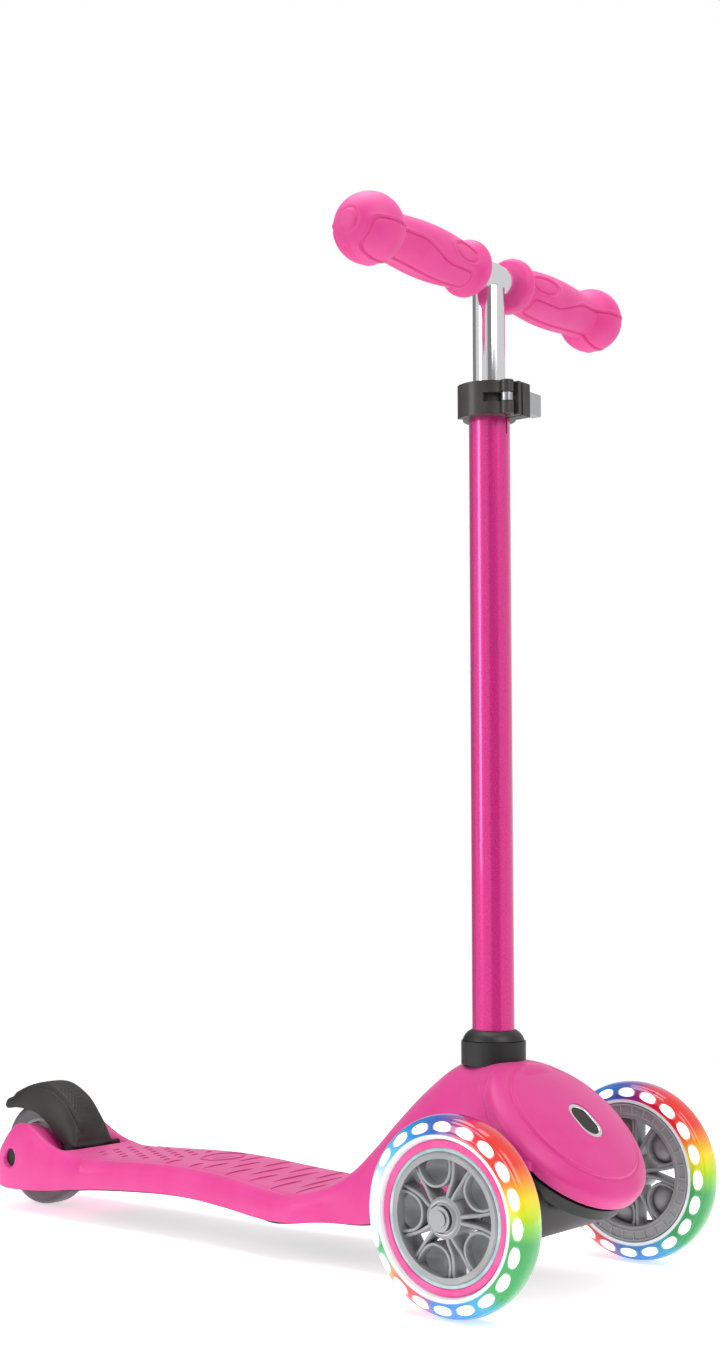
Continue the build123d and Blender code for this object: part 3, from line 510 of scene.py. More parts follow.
# ---------------------------------------------------------------- deck, neck and nose
# y, half width, edge power, top power, top, bottom: a power of 2 is an ellipse, a high one a square corner
MOULDING = [
    (-24.0, 60.3, 14.0, 2.8, 96.0, 78.0), (-10.0, 61.6, 14.0, 2.8, 110.0, 82.0),
    (1.0, 61.0, 9.0, 2.6, 122.0, 84.0), (10.0, 60.2, 4.5, 2.4, 132.0, 77.0),
    (19.0, 59.2, 3.0, 2.4, 138.5, 72.0), (28.0, 58.5, 2.5, 2.2, 141.6, 67.0),
    (44.0, 56.3, 2.0, 2.0, 141.8, 58.0), (66.0, 53.3, 2.0, 2.0, 137.2, 48.0),
    (88.0, 50.3, 2.1, 2.0, 121.5, 40.0), (108.0, 47.4, 2.3, 2.1, 102.0, 34.0),
    (124.0, 45.6, 2.8, 2.2, 83.0, 31.0), (138.0, 45.5, 4.0, 2.5, 66.0, 30.0),
    (152.0, 48.5, 6.0, 2.8, 54.5, 29.5), (168.0, 53.3, 8.0, 3.0, 48.2, 28.0),
    (180.0, 55.0, 9.0, 3.0, 45.8, 27.0), (205.0, 52.6, 9.0, 3.0, 46.0, 26.6),
    (240.0, 47.6, 9.0, 3.0, 48.6, 28.8), (280.0, 46.0, 9.0, 3.0, 51.2, 31.4),
    (320.0, 46.5, 9.0, 3.0, 51.2, 31.0), (360.0, 47.4, 9.0, 3.0, 49.3, 28.5),
    (400.0, 45.6, 9.0, 3.0, 48.2, 24.0), (426.0, 44.2, 9.0, 3.0, 50.0, 20.4),
    (450.0, 43.4, 9.0, 3.0, 50.0, 18.0), (476.0, 42.4, 8.0, 3.0, 50.0, 16.7),
    (488.0, 41.0, 7.0, 3.0, 48.0, 18.4), (496.0, 37.6, 6.0, 3.0, 45.0, 21.4),
    (500.5, 31.0, 5.0, 2.6, 42.0, 25.0), (501.8, 22.0, 4.0, 2.2, 38.0, 29.0)]
# both blend in from SCOOP_FROM back: the ears beside the rear wheel, and the scoop between them: y, height
SCOOP_FROM = 405.0
EAR_RIDGE = [
    (398, 48.2), (410, 49.4), (426, 53), (440, 59), (455, 67.5), (466, 70.5), (478, 68.4), (491, 56),
    (498, 45), (502, 34)]
SCOOP_FLOOR = [
    (398, 48.2), (410, 49.0), (418, 49.5), (423, 45), (430, 42.8), (440, 45), (455, 57), (466, 62),
    (480, 63), (491, 54), (498, 45), (502, 34)]


def column_of(rows, column, y):
    """One column of a table at any y, along a smooth curve through its rows."""
    fine = through(rows, 60 * len(rows))
    return np.interp(y, fine[:, 0], fine[:, column])


def top_height(x, y):
    """Height of the moulding's upper surface at x and y, before its edges are rounded."""
    top = column_of(MOULDING, 4, y)
    rise = smooth(np.abs(x), 22.0, 39.0)
    floor = column_of(SCOOP_FLOOR, 1, y)
    rear = floor + (column_of(EAR_RIDGE, 1, y) - floor) * rise
    share = smooth(y, SCOOP_FROM, SCOOP_FROM + 15)
    return top + (rear - top) * share


def moulding(rows_y, inset=0.0, across=150, below=24, floor=0.0):
    """The outer moulding: at each y an arch x = w * cos^(2/p), z = h * sin^(2/q) on a flat base, its points
    evenly spaced, its top pulled to top_height. inset moves the sides and the top inwards, floor the base
    down. across and below are the numbers of points over the top and along the base."""
    theta = np.linspace(0, math.pi, 4000)
    rings = []
    for y in rows_y:
        half, edge, crown, top, low = (column_of(MOULDING, k, y) for k in range(1, 6))
        half, top, low = half - inset, top - inset, low - floor
        x = half * signed_power(np.cos(theta), 2 / edge)
        z = (top - low) * np.sin(theta) ** (2 / crown)
        length = np.concatenate([[0], np.cumsum(np.hypot(np.diff(x), np.diff(z)))])
        even = np.linspace(0, length[-1], across)
        x, z = np.interp(even, length, x), np.interp(even, length, z)
        z = low + z * (top_height(x, y) - inset - low) / (top - low)
        flat = np.linspace(-half, half, below)[1:-1]
        ring = np.stack([np.concatenate([x, flat]), np.full(across + below - 2, y),
                         np.concatenate([z, np.full(below - 2, low)])], -1)
        rings.append(ring)
    return np.array(rings)


def closed_mesh(name, points):
    """One solid as a mesh of its own."""
    return Shell().solid(points).mesh(name)


def rod(name, centre, axis, radius, low, high, half_wide=0.0, columns=64):
    """Closed cylinder along axis, or an oval one when half_wide stretches it along the nose's slope."""
    axis = np.asarray(axis, float) / np.linalg.norm(axis)
    side = np.array([1.0, 0, 0]) if abs(axis[0]) < 0.5 else np.array([0, 1.0, 0])
    third = np.cross(axis, side)
    angle = np.linspace(0, 2 * math.pi, columns, endpoint=False)
    cos, sin = np.cos(angle)[:, None], np.sin(angle)[:, None]
    ring = radius * (cos * side + sin * third) + half_wide * np.sign(sin) * third
    ends = [np.asarray(centre) + ring + axis * reach for reach in (low, high)]
    return closed_mesh(name, np.array(ends))


def block(name, low, high):
    """Closed box between two corners, used only as a cutter."""
    (x0, y0, z0), (x1, y1, z1) = low, high
    ring = np.array([(x0, y0), (x1, y0), (x1, y1), (x0, y1)], float)
    ends = [np.column_stack([ring, np.full(4, z)]) for z in (z0, z1)]
    return closed_mesh(name, np.array(ends))


# the nose: half its width and length, the rise of its dome and the depth of its skirt
NOSE_W, NOSE_L, NOSE_RISE, NOSE_SKIRT = 61.7, 59.9, 15.5, 5.7
# share of the rim at which the raised inner oval ends
NOSE_STEP = 0.785


def nose_point(rho, angle, height):
    """A point of the nose from its share of the rim, its angle and its height over the rim."""
    return (NOSE_AT + np.asarray(rho * np.cos(angle) * NOSE_W)[..., None] * np.array([1.0, 0, 0])
            + np.asarray(rho * np.sin(angle) * NOSE_L)[..., None] * NOSE_DOWN_SLOPE
            + np.asarray(height)[..., None] * NOSE_UP)


def nose_dome(grow=0.25, columns=144):
    """The nose: an ellipsoid cap z = rise * sqrt(1 - rho^2) with a lipped step up to a raised inner oval, on
    a short skirt with a rounded lower edge."""
    rho = np.sin(np.linspace(0.0, math.pi / 2, 190))[1:]
    low = NOSE_RISE * np.sqrt(np.maximum(0, 1 - rho ** 2))
    step = 0.8 * (1 - smooth(rho, NOSE_STEP, 0.80)) + 0.35 * np.exp(-((rho - NOSE_STEP) / 0.012) ** 2)
    step -= 0.9 * np.exp(-((rho - 0.81) / 0.012) ** 2)
    height = low + step + grow
    skirt_rho = np.array([1.0, 1.0, 1.0, 0.985, 0.95])
    skirt_height = np.array([-1.5, -3.2, -NOSE_SKIRT + 1.2, -NOSE_SKIRT + 0.2, -NOSE_SKIRT])
    rho, height = np.concatenate([rho, skirt_rho]), np.concatenate([height, skirt_height])
    angle = np.linspace(0, 2 * math.pi, columns, endpoint=False)
    r, a = np.meshgrid(rho, angle, indexing="ij")
    return closed_mesh("dome", nose_point(r, a, np.broadcast_to(height[:, None], r.shape)))


def welded_copy(node):
    """A copy of a CAD node's mesh, its faces joined into one skin."""
    data = nodes[node].data.copy()
    work = bmesh.new()
    work.from_mesh(data)
    bmesh.ops.remove_doubles(work, verts=work.verts, dist=2e-6)
    bmesh.ops.dissolve_degenerate(work, edges=work.edges, dist=1e-7)
    work.to_mesh(data)
    work.free()
    return data


# wall thickness, and how far the hollow runs out below it: the moulding is open underneath
WALL, OPEN_BELOW = 3.4, 1.0
WHEEL_SLOT_HALF, AXLE_HOLE_R, AXLE_BORE_R = 14.5, 7.5, 4.0
# the lock button's window: how far down the nose, its radius and how far it is stretched
BUTTON_DOWN, WINDOW_R, WINDOW_STRETCH = 5.3, 10.5, 3.5


def deck_piece():
    """Skin of the whole moulding, hollowed, and joined to the CAD deck's inside ahead of the rear wheel."""
    rows = np.concatenate([np.linspace(-24.0, 130, 76), np.linspace(132, 398, 110),
                           np.linspace(400, 490, 70), np.linspace(491, 501.8, 16)])
    skin = carve(closed_mesh("outer", moulding(rows)), [nose_dome()], "UNION")
    hollow_rows = np.concatenate([np.linspace(3.0, 130, 30), np.linspace(135, 416, 60)])
    hollow = closed_mesh("hollow", moulding(hollow_rows, inset=WALL, across=70, floor=OPEN_BELOW))
    # room for the truck under the nose, ahead of the column, and for the front wheels' axle
    room = rod("room", NOSE_AT, NOSE_UP, 58.8, -80, -NOSE_SKIRT)
    room = carve(room, [block("front", (-100, -80, -60), (100, 30, 200))], "INTERSECT")
    cap_room = rod("cap_room", NOSE_AT, NOSE_UP, 56.0, -20, 4.0)
    barrel = rod("barrel", (0, 4, FRONT_Z), X_AXIS, 36.0, -130, 130)
    # the rear wheel's slot, a round recess in each ear, and the axle's bore
    slot = block("slot", (-WHEEL_SLOT_HALF, REAR_Y - 45, -80), (WHEEL_SLOT_HALF, REAR_Y + 90, 120))
    holes = [rod("hole", (0, REAR_Y, REAR_Z), X_AXIS, AXLE_HOLE_R, *reach) for reach in ((-60, -34), (34, 60))]
    bore = rod("bore", (0, REAR_Y, REAR_Z), X_AXIS, AXLE_BORE_R, -60, 60, columns=32)
    window = rod("window", NOSE_AT + BUTTON_DOWN * NOSE_DOWN_SLOPE, NOSE_UP, WINDOW_R, -15, 30,
                 half_wide=WINDOW_STRETCH)
    skin = carve(skin, [hollow, room, cap_room, barrel, slot, bore, window] + holes, "DIFFERENCE")
    # the CAD deck is narrowed a little, so that its sides lie inside the skin
    core = welded_copy("deck")
    core.transform(Matrix.Diagonal((0.98, 1.0, 1.0, 1.0)))
    inside = carve(core, [block("rear", (-80, 392, -50), (80, 560, 150))], "DIFFERENCE")
    return carve(skin, [inside], "UNION")


add_piece("deck_moulding", deck_piece(), pink, "frame", ["deck"])


# ---------------------------------------------------------------- grip pattern on the deck
SUNK = 0.35


def pillow(centre_x, centre_y, length, width, slope, height, columns=20, rings=5):
    """A low swelling on the deck: height * (1 - rho^2)^0.6 over an oval of the given length and width, its
    rim sunk into the deck. slope turns it, as a tangent."""
    rho = np.linspace(0, 1, rings + 1)[1:, None]
    angle = np.linspace(0, 2 * math.pi, columns, endpoint=False)[None]
    u = signed_power(np.cos(angle), 0.55) * rho * length / 2
    v = np.sin(angle) * rho * width / 2
    turn = math.atan(slope)
    x = centre_x + u * math.cos(turn) - v * math.sin(turn)
    y = centre_y + u * math.sin(turn) + v * math.cos(turn)
    z = top_height(x, y) - SUNK + (height + SUNK) * (1 - np.broadcast_to(rho, x.shape) ** 2) ** 0.6
    upper = np.stack([x, y, z], -1)
    lower = upper[-1:] - [0, 0, 0.8]
    return np.concatenate([upper, lower])


# ribs: how far apart the rows are; at the rear their pitch and length, in front the gap and the shortest kept
REAR_ROW, REAR_PITCH, REAR_LENGTH = 11.0, 15.0, 9.5
FRONT_ROW, FRONT_GAP, FRONT_SHORTEST = 12.0, 6.0, 14


def tread_places():
    """Ribs across the deck, as centre, length, width and slope: short ones in staggered rows at the rear,
    longer ones further forward."""
    places = []
    for row, y in enumerate(np.arange(400, 318, -REAR_ROW)):
        for x in np.arange(-30.0 + 7.5 * (row % 2), 31, REAR_PITCH):
            if abs(x) < 29:
                places.append((x, y, REAR_LENGTH, 1.5, 0.1))
    for row, y in enumerate(np.arange(312, 160, -FRONT_ROW)):
        long = 20 + 40 * smooth(y, 310, 210)
        pitch = long + FRONT_GAP
        shift = (0.5 if row % 2 else 0.0) * pitch
        reach = column_of(MOULDING, 1, y) - 11
        for x in np.arange(shift - 3 * pitch, 3 * pitch, pitch):
            low, high = max(x - long / 2, -reach), min(x + long / 2, reach)
            if high - low > FRONT_SHORTEST:
                places.append(((low + high) / 2, y, high - low, 1.3, 0.08 * smooth(y, 230, 190)))
    return places


# a plain oval boss among the ribs: centre x and y, length across the deck and width along it
EMBLEM = (12.0, 298.0, 40.0, 25.0)


def tread_piece():
    """All the ribs, and the boss inside its raised rim, as low swellings sunk into the deck's top."""
    shell = Shell()
    ex, ey, el, ew = EMBLEM
    for x, y, length, width, slope in tread_places():
        if ((x - ex) / (el / 2 + length / 2 + 2)) ** 2 + ((y - ey) / (ew / 2 + 4)) ** 2 < 1:
            continue
        shell.solid(pillow(x, y, length, width, slope, 0.9))
    angle = np.linspace(0, 2 * math.pi, 96, endpoint=False)
    section = np.linspace(0, 2 * math.pi, 12, endpoint=False)
    a, s = np.meshgrid(angle, section, indexing="ij")
    x = ex + (el / 2 + 0.9 * np.cos(s)) * np.cos(a)
    y = ey + (ew / 2 + 0.9 * np.cos(s)) * np.sin(a)
    z = top_height(x, y) + 0.1 + 0.7 * np.sin(s)
    shell.ring(np.stack([x, y, z], -1))
    shell.solid(pillow(ex, ey, el * 0.6, ew * 0.5, 0.0, 0.6, columns=48, rings=8))
    return shell.mesh("tread")


# the ribs take the deeper pink that stands in for painted shade along them
add_piece("deck_tread_ribs", tread_piece(), rib_pink_painted_shade, "frame")


# ---------------------------------------------------------------- front wheels
RIM_R, SEAT_R, BOSS_R, PETAL_FOOT_R = 38.6, 45.5, 12.5, 37.6
SPOKE_PAIRS, FLANGE_RIBS = 5, 30


def wheel_frame(side):
    """Centre of a front wheel, its outboard direction and the direction of spoke number 0."""
    sign = 1 if side == "left" else -1
    return np.array([sign * TRACK, 0, FRONT_Z]), sign * X_AXIS, Y_AXIS


def ring_of(outline, centre, out, across, columns=160, round_mm=0.6, steps=4):
    """Closed ring: a rounded outline of (outboard, radius) corners turned about the axle."""
    return lathe(rounded(outline, round_mm, steps), centre, out, across, columns)


def in_wheel(centre, out, across, along, reach, turn):
    """Points of a wheel from their outboard distance, radius and angle."""
    third = np.cross(out, across)
    return (centre + np.asarray(along)[..., None] * out + (np.asarray(reach) * np.cos(turn))[..., None] * across
            + (np.asarray(reach) * np.sin(turn))[..., None] * third)


def petal_path(centre, out, across, turn, width=24.5, depth=19.0, power=2.4, count=40):
    """U-shaped rib with both ends in the rim: half of a super-ellipse, pointing at the axle."""
    t = np.linspace(-0.06 * math.pi, 1.06 * math.pi, count)
    side = width / 2 * signed_power(np.cos(t), 2 / power)
    up = PETAL_FOOT_R - depth * signed_power(np.sin(t), 2 / power)
    return in_wheel(centre, out, across, np.zeros(count), np.hypot(up, side), turn + np.arctan2(side, up))


def dish(centre, out, across, turn, low=-5.5, high=1.5, middle_r=28.2, half_long=9.0, half_wide=10.8,
         thick=1.4):
    """Dished wall at the back of a petal: an oval bowl low + (high - low) * rho^2."""
    rho = np.linspace(0.0, 1.0, 10)[1:, None]
    angle = np.linspace(0, 2 * math.pi, 36, endpoint=False)[None]
    u = middle_r + half_long * rho * np.cos(angle)
    v = half_wide * rho * np.sin(angle)
    along = np.broadcast_to(low + (high - low) * rho ** 2, u.shape)
    face = in_wheel(centre, out, across, along, np.hypot(u, v), turn + np.arctan2(v, u))
    back = in_wheel(centre, out, across, along - thick, np.hypot(u, v), turn + np.arctan2(v, u))
    return np.concatenate([face, back[::-1]])


def hub_piece(side):
    """Hub: rim with a lip, ribbed inboard flange, five pairs of spokes, five U-shaped petals with dished
    backs and a stepped boss."""
    centre, out, across = wheel_frame(side)
    shell = Shell()
    rim = [(-11.3, 36.2), (9.8, 36.2), (9.8, RIM_R), (-8.7, RIM_R), (-8.7, 45.8), (-11.3, 45.8)]
    shell.ring(ring_of(rim, centre, out, across))
    lip = [(9.8, 34.6), (10.4, 34.6), (10.4, 38.0), (9.0, 38.0), (9.0, 34.6)]
    shell.ring(ring_of(lip, centre, out, across, round_mm=0.4))
    boss = [(-11.0, 8.7), (-11.0, BOSS_R), (9.5, BOSS_R), (10.2, BOSS_R - 0.8), (11.0, BOSS_R - 1.0),
            (11.4, 10.6), (10.6, 10.2), (10.6, 9.6), (13.0, 9.0), (13.0, 8.5), (9.0, 8.5), (9.0, 6.0),
            (-9.0, 6.0), (-9.0, 8.7)]
    shell.ring(ring_of(boss, centre, out, across, 96, 0.35, 3))
    step = 2 * math.pi / SPOKE_PAIRS
    for k in range(SPOKE_PAIRS):
        for lean in (-1, 1):
            reach = np.linspace(BOSS_R - 1.5, 37.2, 14)
            along = 1.2 * smooth(reach, 30, BOSS_R) - 0.4
            turn = np.full(14, k * step + step / 2 + lean * 0.145) + lean * 0.05 * smooth(reach, 20, 37)
            path = in_wheel(centre, out, across, along, reach, turn)
            shell.solid(tube(path, 2.6, 12.5 + 5.0 * smooth(reach, 24, BOSS_R), out))
        shell.solid(tube(petal_path(centre, out, across, k * step), 2.2, 13.0, out))
        shell.solid(dish(centre, out, across, k * step))
    # short ribs across the inboard flange, between two raised rings
    for k in range(FLANGE_RIBS):
        turn = 2 * math.pi * k / FLANGE_RIBS
        reach = np.linspace(39.4, 44.9, 5)
        path = in_wheel(centre, out, across, np.full(5, -11.5), reach, np.full(5, turn))
        shell.solid(tube(path, 1.2, 1.6, out, 12, 4.0))
    for reach in (39.2, 45.1):
        raised = [(-12.2, reach - 0.6), (-11.0, reach - 0.6), (-11.0, reach + 0.6), (-12.2, reach + 0.6)]
        shell.ring(ring_of(raised, centre, out, across, 120, 0.3, 3))
    return shell.mesh("hub")


def crown(angle, half_width, flank, foot, rise, crest):
    """Section of a tyre over an angle: half_width * cos^flank wide and foot + rise * sin^crest in radius."""
    return half_width * signed_power(np.cos(angle), flank), foot + rise * signed_power(np.sin(angle), crest)


def tyre_piece(side):
    """Front tyre: a crown with a fine groove at each of two radii on its walls, closed round its seat."""
    centre, out, across = wheel_frame(side)
    along, reach = crown(np.linspace(-0.12, math.pi + 0.12, 60), 12.0, 0.82, 48.6, 11.4, 0.86)
    for groove in (50.4, 57.4):
        reach = reach - 0.35 * np.exp(-((reach - groove) / 0.35) ** 2) * (np.abs(along) > 3)
        along = along * (1 - 0.03 * np.exp(-((reach - groove) / 0.4) ** 2))
    seat = [(-9.4, 46.2), (-8.6, SEAT_R + 0.1), (8.6, SEAT_R + 0.1), (9.4, 46.2)]
    profile = np.vstack([np.column_stack([along, reach]), seat])
    return Shell().ring(lathe(profile, centre, out, across, 200)).mesh("tyre")


def ring_piece(side, outline):
    """A plain ring of a front wheel as a mesh of its own."""
    centre, out, across = wheel_frame(side)
    return Shell().ring(ring_of(outline, centre, out, across, 160, 0.5)).mesh("ring")


for side in ("left", "right"):
    body = f"{side}_wheel"
    add_piece(f"{side}_spoked_hub", hub_piece(side), hub_nylon, body, [f"{side}_hub"])
    add_piece(f"{side}_lit_tyre", tyre_piece(side), tyre_looks[side], body, [f"{side}_tyre"], 50)
    carrier = [(-8.6, RIM_R + 0.05), (9.3, RIM_R + 0.05), (9.3, 41.0), (7.4, 41.3), (7.4, SEAT_R),
               (-8.6, SEAT_R)]
    add_piece(f"{side}_lamp_carrier", ring_piece(side, carrier), carrier_clear, body,
              [f"{side}_light_ring"])
    band = [(7.4, 41.0), (9.3, 41.0), (9.9, 41.8), (9.9, 44.8), (9.3, SEAT_R), (7.4, SEAT_R)]
    add_piece(f"{side}_trim_band", ring_piece(side, band), trim_pink, body, [f"{side}_trim_ring"])


# ---------------------------------------------------------------- rear wheel
def rear_tyre_piece():
    """Rear tyre: a solid crowned ring with a fine groove beside the tread."""
    along, reach = crown(np.linspace(0.0, math.pi, 50), 11.4, 0.5, 34.0, 6.0, 0.75)
    groove = 0.5 * np.exp(-((np.abs(along) - 11.2) / 0.12) ** 2)
    seat = [(-10.4, 30.0), (-10.0, 27.2), (10.0, 27.2), (10.4, 30.0)]
    profile = np.vstack([np.column_stack([along, reach - groove]), seat])
    centre = np.array([0, REAR_Y, REAR_Z])
    return Shell().ring(lathe(profile, centre, X_AXIS, Y_AXIS, 160)).mesh("rear_tyre")


add_piece("rear_solid_tyre", rear_tyre_piece(), rear_polyurethane, "rear_wheel", ["rear_tyre"],
          50)


# ---------------------------------------------------------------- brake
# the brake's top and underside along its length: y, z, from the hinge to the tongue
BRAKE_TOP = [
    (425.2, 53.5), (425.8, 60), (429, 69), (441, 83.2), (458, 92.6), (472, 94.5), (488, 91.2),
    (505, 84.6), (517.5, 79.6)]
BRAKE_UNDER = [
    (424.0, 50.5), (427.0, 46.0), (433, 48.6), (446, 57.5), (457, 66.5), (470, 73.0), (490, 75.2),
    (507, 73.4), (519.6, 76.2)]


# the foot pad: its place along the brake, half its width and half its length as a share of the brake's
PAD_AT, PAD_HALF_WIDE, PAD_HALF_LONG = 0.52, 12.6, 0.40


def brake_piece():
    """Foot brake: a curved shell from the hinge to the tongue. Its section is a super-ellipse with a raised
    foot pad; below it is hollowed to let the wheel through."""
    rows, columns, base_columns = 260, 150, 12
    top, under = through(BRAKE_TOP, rows), through(BRAKE_UNDER, rows)
    share = np.linspace(0, 1, rows)
    half = 20.8 * np.sqrt(1 - (np.maximum(0, top[:, 0] - 488) / 31.5) ** 2)
    theta = np.linspace(0, math.pi, columns)
    across = signed_power(np.cos(theta), 0.42)
    height = np.sin(theta) ** 0.62
    s, u = share[:, None], across[None, :] * np.ones((rows, 1))
    x = half[:, None] * u
    # the sides lean in towards the top, and the pad stands proud inside a shallow groove
    x = x * (1 - 0.16 * height[None, :] ** 2 * (1 - smooth(s, 0.9, 1.0)))
    edge = ((np.abs(x) / PAD_HALF_WIDE) ** 6 + (np.abs(s - PAD_AT) / PAD_HALF_LONG) ** 6) ** (1 / 6)
    pad = 1.5 * (1 - smooth(edge, 0.95, 1.0)) - 1.4 * np.exp(-((edge - 1.05) / 0.05) ** 2)
    pad = pad * smooth(height[None, :], 0.55, 0.8)
    rows_of_nubs = np.cos(x * 2 * math.pi / 3.0) * np.cos(s * 2 * math.pi * 34)
    pad = pad + 0.35 * rows_of_nubs * (1 - smooth(edge, 0.84, 0.9))
    lift = (top - under)[:, None, :]
    size = np.linalg.norm(lift, axis=2)
    grow = height[None, :] * (1 - 0.02) + pad / size * smooth(s, 0.02, 0.08)
    y = under[:, None, 0] + lift[..., 0] * grow
    z = under[:, None, 1] + lift[..., 1] * grow
    flat = np.linspace(-1, 1, base_columns + 2)[1:-1]
    base = np.stack([half[:, None] * flat[None], np.repeat(under[:, 0:1], base_columns, 1),
                     np.repeat(under[:, 1:2], base_columns, 1)], -1)
    body = closed_mesh("brake", np.concatenate([np.stack([x, y, z], -1), base], 1))
    room = rod("room", (0, REAR_Y, REAR_Z), X_AXIS, REAR_Z + 5.0, -14.0, 14.0, columns=120)
    heel = block("heel", (-11, 425.7, 40), (11, 434.5, 55.5))
    pin = rod("pin", (0, 428, 49), X_AXIS, 2.55, -60, 60, columns=32)
    return carve(body, [room, heel, pin], "DIFFERENCE")


add_piece("brake_shell", brake_piece(), dark_nylon, "brake", ["brake_pedal"], 32)


# ---------------------------------------------------------------- grips
BALL_X, BALL_R, NECK_R, BELLY_R, FLANGE_R = 132.0, 22.98, 15.8, 18.0, 19.5
# the thumb pad's place along the bar and round it, and how far the patch's corners are rounded
THUMB_X, THUMB_FOLD, PATCH_BLEND = 47.0, 0.16, 1.8


def grip_piece(sign):
    """Grip: a lathe profile of flange, swelling barrel and ball end, with creases pressed along its normal
    by Gaussians h * exp(-(d/w)^2) of the distance d to each line in the unrolled surface."""
    junction = BALL_X - math.sqrt(BALL_R ** 2 - (NECK_R + 1.0) ** 2)
    arc = np.linspace(math.acos((junction - BALL_X) / BALL_R), 0.03, 40)
    profile = [(20.0, 12.5), (20.2, 15.5), (21.4, 18.0), (24.0, 19.3), (26.2, FLANGE_R), (28.4, 19.2),
               (30.4, 18.0), (32.2, 16.6), (34.5, NECK_R), (40, 16.0), (52, 17.2), (66, BELLY_R),
               (82, 17.9), (96, 17.0), (108, 16.0), (junction - 2.2, NECK_R), (junction - 0.6, NECK_R + 0.3)]
    ends = np.column_stack([BALL_X + BALL_R * np.cos(arc), BALL_R * np.sin(arc)])
    line = np.vstack([through(profile, 190), ends])
    length = np.concatenate([[0], np.cumsum(np.hypot(*np.diff(line, axis=0).T))])
    even = np.linspace(0, length[-1], 330)
    along, radius = np.interp(even, length, line[:, 0]), np.interp(even, length, line[:, 1])
    slope = np.stack([-np.gradient(radius), np.gradient(along)])
    normal = slope / np.linalg.norm(slope, axis=0)
    a, phi = np.meshgrid(along, np.linspace(0, 2 * math.pi, 230, endpoint=False), indexing="ij")
    r = np.broadcast_to(radius[:, None], a.shape)
    # the same lines run on the front and the back: -90 degrees is below, 0 faces forward, 90 is on top
    fold = math.pi / 2 - np.abs((phi + math.pi / 2) % (2 * math.pi) - math.pi)

    def crease(distance):
        """A fine groove with a soft lip on one side."""
        return 0.7 * np.exp(-((distance - 1.6) / 1.0) ** 2) - 1.0 * np.exp(-(distance / 0.8) ** 2)

    # a patch on the lower half, from the flange to the middle of the ball
    upper = -0.03 - 0.52 * smooth(a, 100, 62)
    lower = -1.3 - 0.15 * smooth(a, 100, 40)
    low_side, high_side = (fold - lower) * r, (upper - fold) * r
    ends_gap = np.minimum(a - 37.0, BALL_X + 16.5 - a)
    inside = -PATCH_BLEND * np.log(sum(np.exp(-gap / PATCH_BLEND) for gap in (low_side, high_side, ends_gap)))
    bump = crease(-inside) + 0.35 * smooth(inside, 0.0, 1.0)
    # an oval thumb pad above it
    reach = np.sqrt(((a - THUMB_X) / 14.0) ** 2 + ((fold - THUMB_FOLD) / 0.34) ** 2)
    bump += crease((reach - 1) * 6.5) * (a < BALL_X - 30)
    # a round boss at the end of the ball
    swing = np.arccos(np.clip((a - BALL_X) / BALL_R, -1, 1)) * BALL_R * (a > BALL_X)
    bump += -0.9 * np.exp(-((swing - 8.0) / 0.9) ** 2) * (a > BALL_X)
    bump *= smooth(a, 32, 36)
    r = r + bump * normal[1][:, None]
    a = np.minimum(a + bump * normal[0][:, None], BALL_X + BALL_R)
    points = np.stack([sign * a, COLUMN_Y - r * np.cos(phi), BAR_Z + r * np.sin(phi)], -1)
    return closed_mesh("grip", points)


for side, sign in (("left", 1), ("right", -1)):
    add_piece(f"{side}_soft_grip", grip_piece(sign), grip_pink, "handlebar", [f"{side}_grip"], 60)


# ---------------------------------------------------------------- edges broken on the small hard parts
def refined(node, body, look, width_mm):
    """A welded copy of a CAD node with its sharp edges broken by a bevel."""
    data = welded_copy(node)
    work = bmesh.new()
    work.from_mesh(data)
    bmesh.ops.dissolve_limit(work, angle_limit=math.radians(1.0), verts=work.verts, edges=work.edges)
    work.to_mesh(data)
    work.free()
    piece = add_piece(f"{node}_finished", data, look, body, [node])
    bevel = piece.modifiers.new("edge", "BEVEL")
    bevel.width = width_mm * MM
    bevel.segments = 2
    bevel.limit_method = "ANGLE"
    bevel.angle_limit = math.radians(35)


for node, body, slot, look, width in (
        ("column_collar", "frame", "black_moulding", black_nylon, 0.8),
        ("collar_cap", "frame", "black_moulding", black_nylon, 0.5),
        ("clamp_collar", "frame", "dark_grey_moulding", clamp_nylon, 0.6),
        ("clamp_lever", "clamp_lever", "dark_grey_moulding", clamp_nylon, 0.7),
        ("clamp_nut", "frame", "aluminium", aluminium, 0.8),
        ("front_truck", "truck", "black_moulding", black_nylon, 0.8),
        ("lock_button", "lock_button", "dark_grey_moulding", dark_nylon, 0.8),
        ("button_bezel", "frame", "zinc_steel", chrome, 0.5)):
    refined(node, body, look, width)


